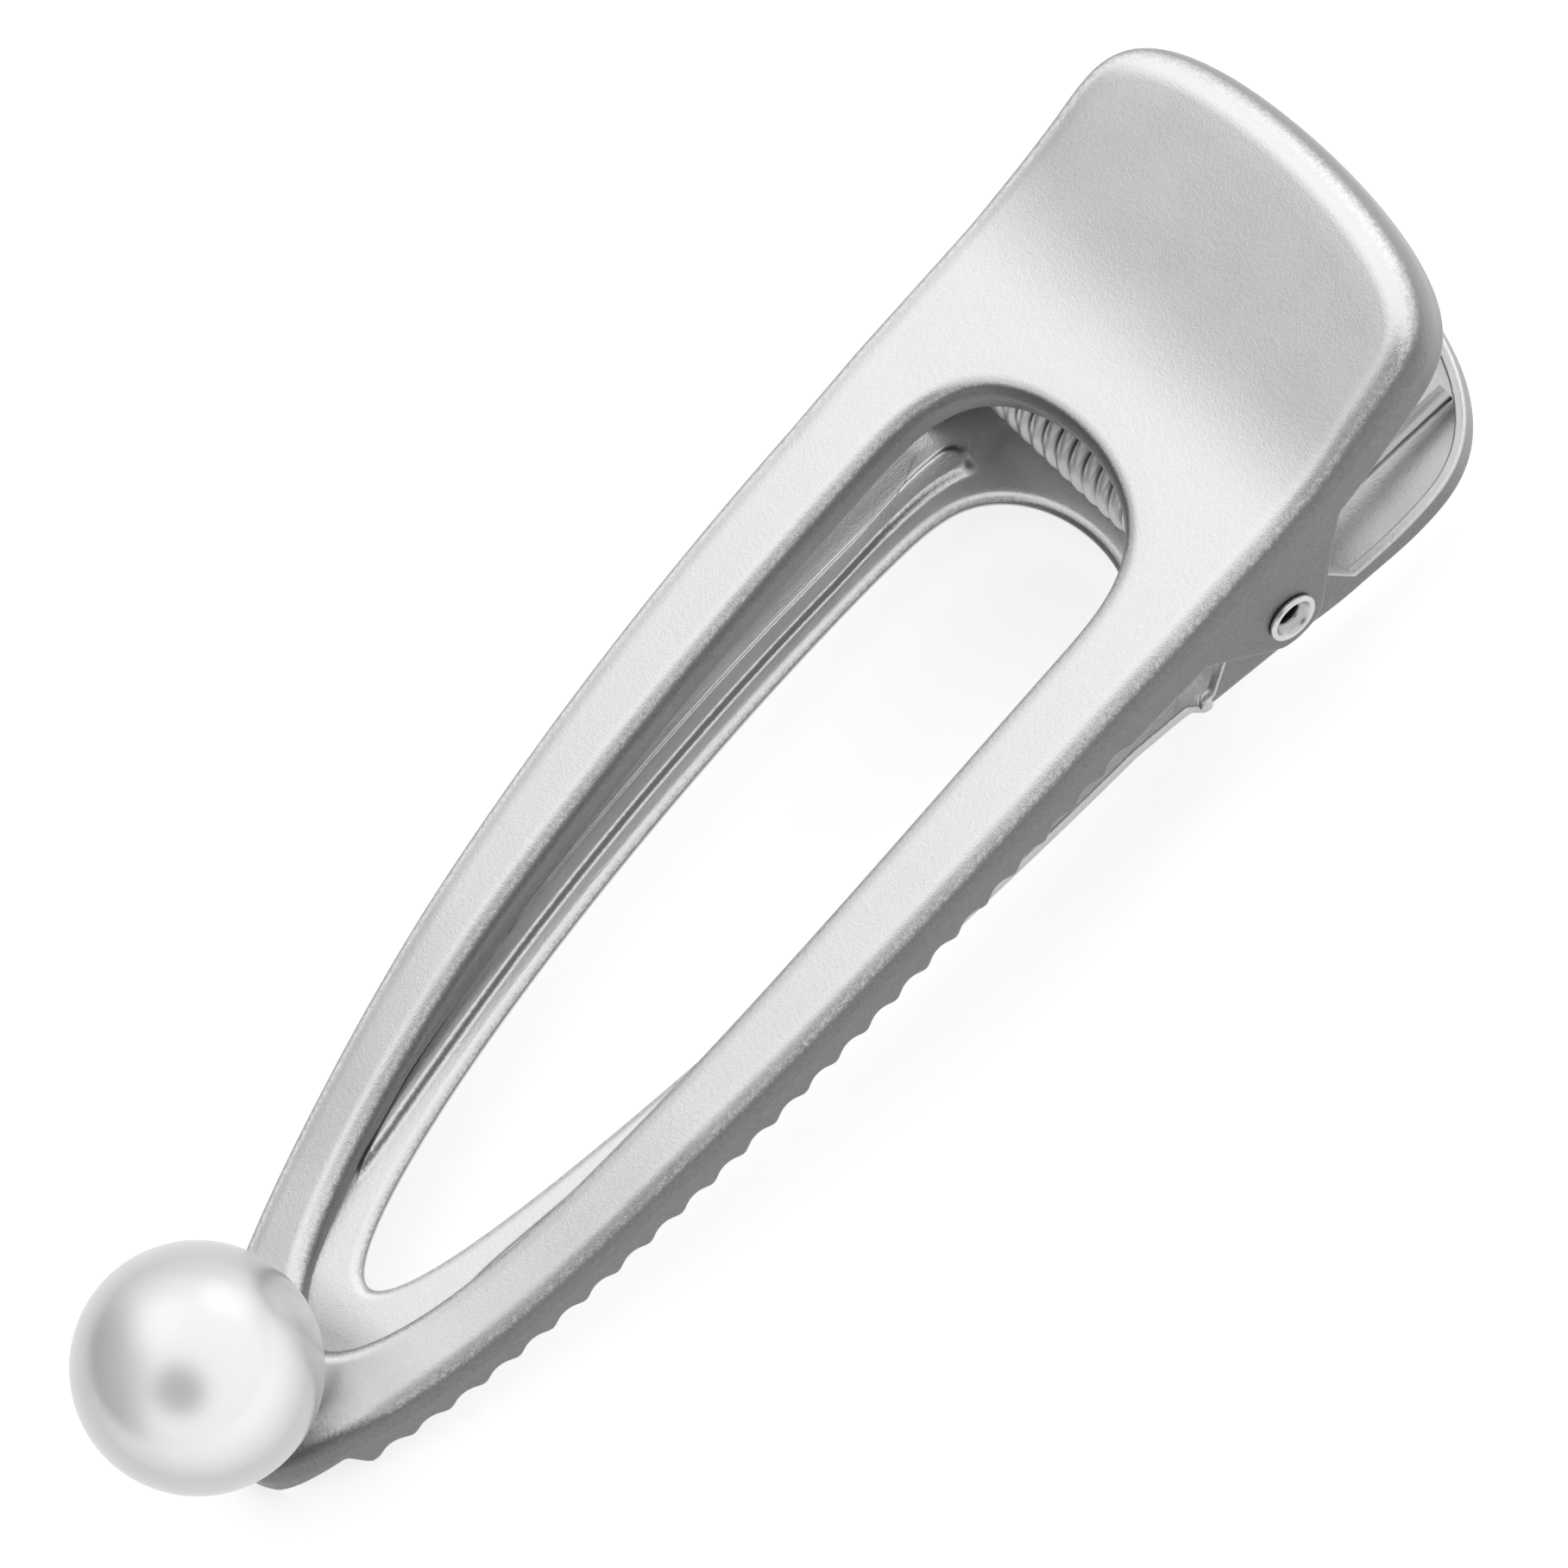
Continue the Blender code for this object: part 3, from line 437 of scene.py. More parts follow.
def mapped(tree, value, low, high, to_low=0.0, to_high=1.0, **settings):
    """A value carried from one range to another, and held at its ends."""
    return add(tree, "ShaderNodeMapRange", {
        "Value": value, "From Min": low, "From Max": high, "To Min": to_low, "To Max": to_high,
    }, **settings).outputs[0]


def marked(tree, name):
    """The number that the loft left on each point under a name."""
    ins = {"Name": name}
    return add(tree, "GeometryNodeInputNamedAttribute", ins, data_type="FLOAT").outputs[0]


def geometry_tree(name, *keys):
    """A geometry tree with a mesh, named numbers and a material; returns it with those inputs."""
    tree = bpy.data.node_groups.new(name, "GeometryNodeTree")
    tree.interface.new_socket("Geometry", in_out="INPUT", socket_type="NodeSocketGeometry")
    for key in keys:
        kind = "NodeSocketInt" if key == "Points" else NUMBER
        tree.interface.new_socket(key, in_out="INPUT", socket_type=kind)
    tree.interface.new_socket("Material", in_out="INPUT", socket_type="NodeSocketMaterial")
    tree.interface.new_socket("Geometry", in_out="OUTPUT", socket_type="NodeSocketGeometry")
    return tree, tree.nodes.new("NodeGroupInput").outputs


def finished(tree, geometry, source):
    """Close a geometry tree: real instances, then the material."""
    real = add(tree, "GeometryNodeRealizeInstances", {0: geometry}).outputs[0]
    coated = add(tree, "GeometryNodeSetMaterial", {0: real, "Material": source["Material"]})
    add(tree, "NodeGroupOutput", {0: coated.outputs[0]})
    return tree


def moved_by(tree, given, offset):
    """Close a tree that moves each point of its mesh by an offset."""
    moved = add(tree, "GeometryNodeSetPosition", {0: given["Geometry"], "Offset": offset})
    return finished(tree, moved.outputs[0], given)


def apply_tree(piece, tree, values):
    """Put a tree on a piece with its inputs set by name."""
    modifier = piece.modifiers.new(tree.name, "NODES")
    modifier.node_group = tree
    for item in tree.interface.items_tree:
        if item.item_type == "SOCKET" and item.in_out == "INPUT" and item.name in values:
            modifier[item.identifier] = values[item.name]


def toothed_rim_tree():
    """A leaning wave along the rim, fading out behind its rear end."""
    tree, given = geometry_tree("toothed_rim", "Pitch", "Height", "Lean", "Front", "Rear", "Fade")
    place = add(tree, "GeometryNodeInputPosition").outputs[0]
    x = add(tree, "ShaderNodeSeparateXYZ", {0: place}).outputs[0]
    clamped = maths(tree, "MINIMUM", maths(tree, "MAXIMUM", x, given["Front"]), given["Rear"])
    turns = maths(tree, "DIVIDE", maths(tree, "SUBTRACT", clamped, given["Front"]), given["Pitch"])
    phase = times(tree, turns, 2 * math.pi)
    leaned = maths(tree, "MULTIPLY_ADD", maths(tree, "SINE", phase), given["Lean"], phase)
    wave = maths(tree, "COSINE", leaned)
    fading = mapped(tree, x, given["Rear"], given["Fade"], 1.0, 0.0)
    drop = times(tree, times(tree, wave, fading), marked(tree, "rim"))
    lift = times(tree, times(tree, drop, given["Height"]), -0.5)
    return moved_by(tree, given, add(tree, "ShaderNodeCombineXYZ", {"Z": lift}).outputs[0])


teeth = toothed_rim_tree()
print("toothed_rim sockets:", [item.name for item in teeth.interface.items_tree])

# %% [markdown]
# ## Lower jaw, sections
#
# The lower jaw is flatter: a narrow frame with a rolled window lip and a raised bead that
# stiffens it, two ears that stand up inside the upper ones, and a dished thumb lever whose rim
# turns up. The sheet lies flat in front of the ears and is folded up from there back, so the
# fold's angle grows from nothing to a right angle over half a millimetre, as at a real bend.

# %% Lower jaw, sections
LOWER_NOSE_REACH, LOWER_LEVER_REACH, LOWER_LEVER_ROOT = 50.3, 12.65, 6.0
LOWER_HALF_WIDTH = 8.2
LOWER_EAR_WIDTH = 9.0
LOWER_STEP_WIDTH = LOWER_HALF_WIDTH + 0.25
LEVER_FLARE, LEVER_ARCH, LEVER_RIM = 0.45, 0.16, 0.85
STEP_FRONT, STEP_REAR = -5.4, -4.7
LOWER_EAR_RADIUS, LOWER_EAR_FRONT, LOWER_EAR_REAR = 2.05, 46, 66
LOWER_LIP_SETBACK, LOWER_LIP_RADIUS, LOWER_LIP_DROP, LOWER_LIP_RUN = 0.4, 0.3, 0.84, 0.1
STRIP_BORDER, EAR_BORDER_LOSS, EAR_FOLD, LEAST_BEND = 0.75, 0.1, 0.4, 0.02
BEAD_FRONT, BEAD_REAR, BEAD_HALF, BEAD_SLOPE = -40.5, -4.0, 0.3, 0.15
lower_nose = oval(-WAIST, WAIST - LOWER_NOSE_REACH, LOWER_HALF_WIDTH, 2.0)
lower_rear = oval(
    LOWER_LEVER_ROOT, LOWER_LEVER_REACH - LOWER_LEVER_ROOT, LOWER_EAR_WIDTH + LEVER_FLARE, 2.8
)[::-1]
step_x = np.linspace(STEP_FRONT, STEP_REAR, 12)
step_share = smooth(step_x, STEP_FRONT, STEP_REAR)
step_y = LOWER_STEP_WIDTH + (LOWER_EAR_WIDTH - LOWER_STEP_WIDTH) * step_share
flare_x = np.linspace(-4.6, LOWER_LEVER_ROOT, 90)
flare_y = LOWER_EAR_WIDTH + LEVER_FLARE * smooth(flare_x, -0.5, LOWER_LEVER_ROOT)
lower_edge = joined(
    lower_nose, np.array([step_x, step_y]).T, np.array([flare_x, flare_y]).T, lower_rear
)
lower_window = window(
    front=43.4, rear=3.0, waist=10.0, half_width=5.25, front_power=1.5, rear_power=3.6
)


def ear_rim():
    """Height of the lower ear's and lever's rim against X."""
    arc = lobe(LOWER_EAR_RADIUS, LOWER_EAR_FRONT, LOWER_EAR_REAR, -1.0)
    foot = float(floor_height(-4.75)) + HALF
    rear_foot = float(floor_height(2.6)) + LEVER_RIM
    front_x = arc[0, 0] - (arc[0, 1] - foot) / math.tan(math.radians(LOWER_EAR_FRONT))
    rear_x = arc[-1, 0] + (arc[-1, 1] - rear_foot) / math.tan(math.radians(LOWER_EAR_REAR))
    flat = np.array([(-60.0, foot), (front_x, foot)])
    rear = np.linspace(rear_x + 0.3, 16.0, 60)
    rear_rim = np.array([rear, floor_height(rear) + LEVER_RIM]).T
    return joined(flat, arc, [(rear_x, rear_foot)], rear_rim)


def lower_middle():
    """Half sections of the lower jaw's middle surface, with each point's share of the bead."""
    counts = (50, 150, 24, 44, 88)
    outer, out_normal = divided(lower_edge, (-41.28, -5.9, -4.45, 0.0), counts)
    inner, in_normal = divided(lower_window, (-40.78, -10.0, -8.6, -3.5), counts)
    in_normal = -in_normal
    x = outer[:, 0]
    side = (x > -6.5) & (x < 6.5)
    out_normal[side] = (0.0, 1.0)
    walled = smooth(x, -4.95, -4.45)
    start = inner - in_normal * LOWER_LIP_SETBACK
    end = outer - out_normal * (STRIP_BORDER - EAR_BORDER_LOSS * walled)[:, None]

    def face(point):
        arch = LEVER_ARCH * smooth(point[:, 0], 2.9, 6.0) * (point[:, 1] / LEVER_HALF) ** 2
        return np.column_stack([point, floor_height(point[:, 0]) - HALF - arch])

    flat = np.zeros(len(x))
    down = np.tile((0.0, 0.0, -1.0), (len(x), 1))
    lip_base = face(start)
    lip_out = np.column_stack([in_normal, flat])
    lip_down = unit(lip_out + LOWER_LIP_DROP * down)
    lip_arc = fold(lip_base, lip_out, lip_down, LOWER_LIP_RADIUS, 9)
    lip_run = run_on(lip_arc[:, -1], lip_down, flat + LOWER_LIP_RUN, (0.5, 1.0))
    share = np.linspace(0.0, 1.0, 34)[1:-1]
    across = np.stack([face(start + (end - start) * s) for s in share], axis=1)
    along = across[..., 0]
    full = np.clip((along - BEAD_FRONT) / 9.0, 0, 1) * np.clip((BEAD_REAR - along) / 0.6, 0, 1)
    full = np.sqrt(1 - (1 - full) ** 2)
    # Beside the ears the strip is wider, so the bead's place is counted on its plain width.
    span = np.maximum(end[:, 1] - start[:, 1], 0.1)
    strip = (LOWER_STEP_WIDTH - STRIP_BORDER - start[:, 1]) / span
    strip = np.where(side, np.minimum(strip, 1.0), 1.0)
    off_line = np.abs(share[None, :] / strip[:, None] - 0.5)
    profile = smooth(BEAD_HALF * full - off_line, 0.0, BEAD_SLOPE)
    base = face(end)
    tilt = -math.sin(float(slope(floor_height, LOWER_LEVER_ROOT)))
    up = np.column_stack([tilt * walled, flat, flat + 1.0])
    out = np.column_stack([out_normal, flat])
    bent = np.maximum(walled, LEAST_BEND)
    angle = math.pi / 2 * bent
    turned_up = unit(out * np.cos(angle)[:, None] + up * np.sin(angle)[:, None])
    arc = fold(base, out, turned_up, EAR_FOLD / bent[:, None], 8)
    rim = ear_rim()
    rim_z = np.interp(x, rim[:, 0], rim[:, 1])
    standing = np.maximum(rim_z - arc[:, -1, 2] - EDGE_ROUND, LEAST_LIP)
    length = LEAST_WALL + (standing - LEAST_WALL) * walled
    wall_run = run_on(arc[:, -1], turned_up, length, np.linspace(0, 1, 8)[1:])
    middle = whole(lip_run, lip_arc, lip_base, across, base, arc, wall_run)
    bead = np.zeros(middle.shape[:2])
    first = lip_run.shape[1] + lip_arc.shape[1] + 1
    bead[:, first:first + len(share)] = profile
    return middle, bead


lower_sections, lower_bead = lower_middle()
lower = sheet_mesh("lower_jaw_shell", both_sides(lower_sections), {"bead": both_sides(lower_bead)})


# %% [markdown]
# ## Raised bead, pin holes and smooth shading
#
# The bead is a height times a share at every point, so it is a second small tree. The pin holes
# are cut last, through both ears at once, so that they line up. The finished sheet is shaded
# smooth, with its sharp corners left crisp.


# %% Bead tree, holes, and plain meshes
def raised_bead_tree():
    """Each point lifted by a height times its share of the bead."""
    tree, given = geometry_tree("raised_bead", "Height")
    lift = times(tree, marked(tree, "bead"), given["Height"])
    return moved_by(tree, given, add(tree, "ShaderNodeCombineXYZ", {"Z": lift}).outputs[0])


def baked(piece, sharp=40):
    """Turn a piece and its modifiers into a plain mesh in the frame's place, shaded smooth."""
    bpy.context.view_layer.update()
    graph = bpy.context.evaluated_depsgraph_get()
    data = bpy.data.meshes.new_from_object(piece.evaluated_get(graph))
    piece.modifiers.clear()
    data.transform(piece.matrix_world)
    data.transform(Matrix.Translation(PIN))
    piece.matrix_world = Matrix.Identity(4)
    piece.data = data
    data.shade_smooth()
    data.set_sharp_from_angle(angle=math.radians(sharp))
    data.calc_loop_triangles()
    print(piece.name, len(data.loop_triangles), "triangles")


def pin_hole(piece, radius, depth=24):
    """Pierce a piece along the pin; returns the cutter, which goes once the piece is baked."""
    bpy.ops.mesh.primitive_cylinder_add(vertices=48, radius=radius * MM, depth=depth * MM)
    cutter = bpy.context.object
    cutter.rotation_euler = (math.pi / 2, 0.0, 0.0)
    hole = piece.modifiers.new("pin_hole", "BOOLEAN")
    hole.operation, hole.solver, hole.object = "DIFFERENCE", "EXACT", cutter
    return cutter


def plain_material(name):
    """A new material with its Principled shader."""
    look = bpy.data.materials.new(name)
    look.use_nodes = True
    return look


looks = {slot: plain_material(slot + "_finish") for slot in (
    "upper_jaw", "lower_jaw", "hinge_rivet", "torsion_spring", "pearl_cup", "pearl_bead"
)}
apply_tree(upper, teeth, {
    "Pitch": 1.67 * MM, "Height": 0.42 * MM, "Lean": 0.3, "Front": -47.9 * MM, "Rear": -7.82 * MM,
    "Fade": -4.66 * MM, "Material": looks["upper_jaw"],
})
apply_tree(lower, raised_bead_tree(), {"Height": 0.3 * MM, "Material": looks["lower_jaw"]})
for jaw in (upper, lower):
    cutter = pin_hole(jaw, 1.0)
    baked(jaw)
    bpy.data.objects.remove(cutter, do_unlink=True)

# %% [markdown]
# ## Torsion spring by Geometry Nodes
#
# The real spring is one hard-drawn wire, wound close on a mandrel, with a leg under each lever.
# The frame draws fewer, wider turns so that they stay apart in the simulation; here the coil has
# a close pitch. The tree makes a line, places each point by a formula of its index, and sweeps a
# circle along it.


# %% Spring tree
LEG_SHARE = 0.04
LEG_CURVE = 1.25


def wound_wire_tree():
    """A wire swept along a coil round Y, with a leg at each end that curves out to its tip."""
    tree, given = geometry_tree(
        "wound_wire", "Points", "Coil Radius", "Half Length", "Turns", "Wire Radius",
        "Leg", "Lower Tip", "Upper Tip",
    )
    line = add(tree, "GeometryNodeMeshLine", {"Count": given["Points"]}, mode="OFFSET").outputs[0]
    path = add(tree, "GeometryNodeMeshToCurve", {0: line}).outputs[0]
    index = add(tree, "GeometryNodeInputIndex").outputs[0]
    last = maths(tree, "SUBTRACT", given["Points"], 1.0)
    share = maths(tree, "DIVIDE", index, last)
    coil = mapped(tree, share, LEG_SHARE, 1 - LEG_SHARE)
    before = mapped(tree, share, 0.0, LEG_SHARE, 1.0, 0.0)
    behind = mapped(tree, share, 1 - LEG_SHARE, 1.0)
    turned_by = times(tree, times(tree, coil, given["Turns"]), -2 * math.pi)
    angle = maths(tree, "ADD", turned_by, -math.pi / 2)
    both_legs = maths(tree, "ADD", before, behind)
    round_x = times(tree, maths(tree, "COSINE", angle), given["Coil Radius"])
    x = maths(tree, "MULTIPLY_ADD", both_legs, given["Leg"], round_x)
    y = times(tree, maths(tree, "MULTIPLY_ADD", coil, 2.0, -1.0), given["Half Length"])
    round_z = times(tree, maths(tree, "SINE", angle), given["Coil Radius"])
    below = times(tree, maths(tree, "POWER", before, LEG_CURVE),
                  maths(tree, "ADD", given["Lower Tip"], given["Coil Radius"]))
    above = times(tree, maths(tree, "POWER", behind, LEG_CURVE),
                  maths(tree, "SUBTRACT", given["Upper Tip"], given["Coil Radius"]))
    z = maths(tree, "ADD", round_z, maths(tree, "ADD", below, above))
    place = add(tree, "ShaderNodeCombineXYZ", {0: x, 1: y, 2: z}).outputs[0]
    wound = add(tree, "GeometryNodeSetPosition", {0: path, "Position": place}).outputs[0]
    ring = add(tree, "GeometryNodeCurvePrimitiveCircle", {
        "Resolution": 16, "Radius": given["Wire Radius"],
    }).outputs[0]
    swept = add(tree, "GeometryNodeCurveToMesh", {
        0: wound, "Profile Curve": ring, "Fill Caps": True,
    }).outputs[0]
    return finished(tree, swept, given)


WIRE = 0.38
LEG_GAP = 0.3
TURNS, COIL_HALF = 16.5, 6.5
leg_x = 10.45
lower_tip = float(floor_height(leg_x)) + LEG_GAP + WIRE
lever_angle = float(slope(top_height, leg_x))
upper_tip = float(top_height(leg_x)) - (SHEET + LEG_GAP + WIRE) / math.cos(lever_angle)
spring = linked("coiled_spring", bpy.data.meshes.new("coiled_spring"))
apply_tree(spring, wound_wire_tree(), {
    "Points": 760, "Coil Radius": 1.7 * MM, "Half Length": COIL_HALF * MM, "Turns": TURNS,
    "Wire Radius": WIRE * MM, "Leg": leg_x * MM, "Lower Tip": lower_tip * MM,
    "Upper Tip": upper_tip * MM, "Material": looks["torsion_spring"],
})
baked(spring, 60)
pitch = 2 * COIL_HALF / TURNS
print("pitch", round(pitch, 3), "mm, so", round(pitch - 2 * WIRE, 3), "mm between turns")


# %% [markdown]
# ## Turned pieces: rivet, cup and pearl
#
# All three are round, so each is a profile turned about its axis. The rivet's and the cup's few
# corners are cut again and again, which leaves the soft radii of rolled metal. The pearl is a
# drilled bead, never a perfect ball: a small tree moves its surface by a slow, seeded noise.


# %% Turned pieces
def softened(profile, rounds, closed):
    """Cut the corners of a profile, a quarter of each side at a time."""
    points = np.array(profile, float)
    for _ in range(rounds):
        ahead = np.roll(points, -1, 0) if closed else points[1:]
        here = points if closed else points[:-1]
        cut = np.stack([0.75 * here + 0.25 * ahead, 0.25 * here + 0.75 * ahead], 1).reshape(-1, 2)
        points = cut if closed else np.concatenate([points[:1], cut, points[-1:]])
    return points


def turned(name, profile, steps, closed):
    """A profile of (radius, height) turned about Z; an open one starts and ends on the axis."""
    angle = 2 * math.pi * np.arange(steps) / steps
    ring = np.stack([
        profile[None, :, 0] * np.cos(angle)[:, None],
        profile[None, :, 0] * np.sin(angle)[:, None],
        np.broadcast_to(profile[None, :, 1], (steps, len(profile))),
    ], axis=-1) * MM
    mesh = bmesh.new()
    rows = [[mesh.verts.new(point) for point in row] for row in ring]
    sides = len(profile) if closed else len(profile) - 1
    for k in range(steps):
        here, there = rows[k], rows[(k + 1) % steps]
        for j in range(sides):
            after = (j + 1) % len(profile)
            mesh.faces.new((here[j], there[j], there[after], here[after]))
    bmesh.ops.remove_doubles(mesh, verts=mesh.verts, dist=1e-7)
    bmesh.ops.dissolve_degenerate(mesh, edges=mesh.edges, dist=1e-8)
    bmesh.ops.recalc_face_normals(mesh, faces=mesh.faces)
    data = bpy.data.meshes.new(name)
    mesh.to_mesh(data)
    mesh.free()
    return linked(name, data)


head = [
    (0.45, 9.3), (0.45, 9.74), (0.72, 9.82), (0.86, 10.05), (1.0, 10.08),
    (1.1, 9.97), (1.09, 9.83), (1.0, 9.82), (0.85, 9.82), (0.85, 9.3),
]
mirrored = [(radius, -height) for radius, height in head[::-1]]
rivet = turned("rolled_rivet", softened(head + mirrored, 3, True), 64, True)
rivet.data.materials.append(looks["hinge_rivet"])
rivet.rotation_euler = (math.pi / 2, 0.0, 0.0)
baked(rivet, 60)

PEARL, STANDOFF, SEAT_GAP, BORE = 5.0, 1.0, 0.3, 0.7
nose_x = -47.8
nose_place = Matrix.Translation(Vector((nose_x, 0.0, float(top_height(nose_x)))) * MM)
nose_frame = nose_place @ Matrix.Rotation(-float(slope(top_height, nose_x)), 4, "Y")
shell = PEARL + SEAT_GAP
hollow = [(r, STANDOFF + PEARL - math.sqrt(shell ** 2 - r ** 2)) for r in np.linspace(0.4, 2.1, 9)]
cup_profile = [
    (0.0, 4.2), (0.3, 4.2), (0.4, 4.1), *hollow, (2.1, hollow[-1][1] - 0.3),
    (1.7, 0.95), (1.1, 0.62), (1.0, 0.3), (0.0, 0.3),
]
cup = turned("pearl_seat", softened(cup_profile, 2, False), 64, False)
cup.data.materials.append(looks["pearl_cup"])
cup.matrix_world = nose_frame
baked(cup, 60)

ball_radius = PEARL - 0.02
sweep = np.linspace(0.0, math.pi - math.asin(BORE / PEARL), 110)
ball = [(ball_radius * math.sin(a), ball_radius * math.cos(a)) for a in sweep]
bore = [(0.62, -4.86), (0.6, -4.7), (0.6, -1.5), (0.0, -1.5)]
pearl = turned("drilled_pearl", np.array(ball + bore), 192, False)
pearl.matrix_world = nose_frame @ Matrix.Translation((0.0, 0.0, (STANDOFF + PEARL) * MM))


# %% Pearl tree
def pearl_skin_tree():
    """Each point sunk along its normal by a slow noise."""
    tree, given = geometry_tree("pearl_skin", "Depth", "Size", "Seed")
    place = add(tree, "GeometryNodeInputPosition").outputs[0]
    normal = add(tree, "GeometryNodeInputNormal").outputs[0]
    scale = maths(tree, "DIVIDE", 1.0, given["Size"])
    slow = add(tree, "ShaderNodeTexNoise", {
        "Vector": place, "W": given["Seed"], "Scale": scale, "Detail": 1.0,
    }, noise_dimensions="4D").outputs[0]
    sink = times(tree, maths(tree, "SUBTRACT", slow, 1.0), given["Depth"])
    offset = add(tree, "ShaderNodeVectorMath", {0: normal, "Scale": sink}, operation="SCALE")
    return moved_by(tree, given, offset.outputs[0])


apply_tree(pearl, pearl_skin_tree(), {
    "Depth": 0.05 * MM, "Size": 4 * MM, "Seed": 3.0, "Material": looks["pearl_bead"],
})
baked(pearl, 60)

# %% [markdown]
# ## Materials
#
# The metal is a satin, nickel-like plating: bright, but broken up by the matt grain of the blasted
# sheet. Three things make it read as that metal: a fine grain in the bump, clouds from handling,
# and smoother cut edges. Grain and clouds are one node group that all the metal pieces share.
# The flanks of the clip turn from bright to dark grey over a grainy border; that dark grey is
# painted shade, standing for the darker surroundings that the flanks reflect. A second group reads
# how steep the surface stands, paints that shade and lets the grain break up its border. It also
# paints shade on undersides and inner sides, as far as its Under input says.


# %% Shared shader groups
def shader_group(name, inputs, outputs):
    """A shader group with named number inputs and outputs; returns it with what it is given."""
    tree = bpy.data.node_groups.new(name, "ShaderNodeTree")
    for key, value in inputs.items():
        socket = tree.interface.new_socket(key, in_out="INPUT", socket_type=NUMBER)
        socket.default_value = value
    for key in outputs:
        tree.interface.new_socket(key, in_out="OUTPUT", socket_type=NUMBER)
    return tree, tree.nodes.new("NodeGroupInput").outputs


def noise(tree, vector, scale, detail, roughness=0.5):
    """A noise's value."""
    return add(tree, "ShaderNodeTexNoise", {
        "Vector": vector, "Scale": scale, "Detail": detail, "Roughness": roughness,
    }).outputs[0]


def in_mm(tree, stretch=(1.0, 1.0, 1.0)):
    """Object coordinates counted in millimetres, stretched along an axis where asked."""
    place = add(tree, "ShaderNodeTexCoord").outputs["Object"]
    return add(tree, "ShaderNodeMapping", {
        "Vector": place, "Scale": tuple(1000 * s for s in stretch),
    }).outputs[0]


def grain_group():
    """Blasted sheet: Grain 0 to 1, Height for the bump and Cloud for handling marks."""
    tree, given = shader_group("satin_grain", {"Scratches": 0.3}, ("Grain", "Height", "Cloud"))
    place = in_mm(tree)
    fine = times(tree, noise(tree, place, 13.0, 2.0, 0.6), 0.65)
    peel = times(tree, noise(tree, place, 5.0, 1.0), 0.35)
    grain = mapped(tree, maths(tree, "ADD", fine, peel), 0.32, 0.68)
    lines = noise(tree, in_mm(tree, (0.25, 7.0, 2.0)), 1.0, 2.0)
    scratch = times(tree, mapped(tree, lines, 0.66, 0.72), given["Scratches"])
    height = maths(tree, "SUBTRACT", grain, scratch)
    cloud = mapped(tree, noise(tree, place, 0.22, 4.0, 0.6), 0.3, 0.7)
    add(tree, "NodeGroupOutput", {"Grain": grain, "Height": height, "Cloud": cloud})
    return tree


def flank_shade_group():
    """How much painted shade a place takes: a steep flank behind a grainy border, or a hidden side.
    """
    inputs = {"Grain": 0.5, "Low": 0.3, "High": 0.75, "Under": 0.0}
    tree, given = shader_group("flank_painted_shade", inputs, ("Mask",))
    normal = add(tree, "ShaderNodeTexCoord").outputs["Normal"]
    facing = add(tree, "ShaderNodeSeparateXYZ", {0: normal}).outputs
    across = add(tree, "ShaderNodeSeparateXYZ", {0: in_mm(tree)}).outputs[1]
    # Painted shade on inner sides: surfaces that face the centre plane from about 6.5 to 8 mm out
    # and further.
    inside = mapped(tree, times(tree, facing[1], across), -8.0, -6.5, 1.0, 0.0)
    # Painted shade on the flanks: the steeper the surface stands, the darker it is painted, more
    # where it faces the nose, and the grain breaks up the border.
    level = maths(tree, "ABSOLUTE", facing[2])
    steep = maths(tree, "SUBTRACT", mapped(tree, facing[0], -0.6, -0.32, 1.3, 1.0), level)
    uneven = maths(tree, "SUBTRACT", given["Grain"], 0.5)
    shaken = maths(tree, "MULTIPLY_ADD", uneven, 0.15, steep)
    painted_shade_mask = mapped(tree, shaken, given["Low"], given["High"], interpolation_type="SMOOTHSTEP")
    # A little less painted shade where the surface faces the levers' end.
    flank = times(tree, painted_shade_mask, mapped(tree, facing[0], 0.1, 0.8, 1.0, 0.8))
    # Undersides and inner sides take painted shade, as much as the Under input gives.
    hidden = maths(tree, "MAXIMUM", mapped(tree, facing[2], -0.8, -0.3, 1.0, 0.0), inside)
    under = times(tree, hidden, given["Under"])
    add(tree, "NodeGroupOutput", {"Mask": maths(tree, "MAXIMUM", flank, under)})
    return tree


GRAIN, FLANK = grain_group(), flank_shade_group()


def group(tree, shared, **values):
    """The outputs of a shared group with its inputs filled."""
    return add(tree, "ShaderNodeGroup", values, node_tree=shared).outputs


def mixed(tree, share, first, second):
    """A colour between two greys or colours."""
    return add(tree, "ShaderNodeMix", {0: share, 6: first, 7: second}, data_type="RGBA").outputs[2]


def grey(value):
    """A grey as a colour."""
    return (value, value, value, 1.0)


def shaded(look, **values):
    """Fill a material's Principled shader."""
    shader = look.node_tree.nodes["Principled BSDF"]
    fill(look.node_tree, shader, {key.replace("_", " "): value for key, value in values.items()})


def bumped(tree, height, distance):
    """A normal bumped by a height over a distance in millimetres."""
    ins = {"Height": height, "Distance": distance * MM, "Strength": 1.0}
    return add(tree, "ShaderNodeBump", ins).outputs[0]


print("shared groups:", GRAIN.name, FLANK.name)

# %% [markdown]
# ## Satin jaws
#
# Both jaws are one recipe with different amounts of brightness, roughness and scratches, and of
# painted shade on the hidden sides ahead of the pin. The lower jaw's outer strip, under the upper
# flank, also takes a painted shadow of that flank, in the flank's painted grey. The cut edges carry
# their own mark from the loft: they are smoother, and half of their tone is a light grey, partly
# wear and partly a painted highlight, which sets them off from the flanks.

# %% Jaw materials
# Where the painted shade on the flanks begins and where it is full.
SHADE_BORDER_LOW, SHADE_BORDER_HIGH = 0.06, 0.42


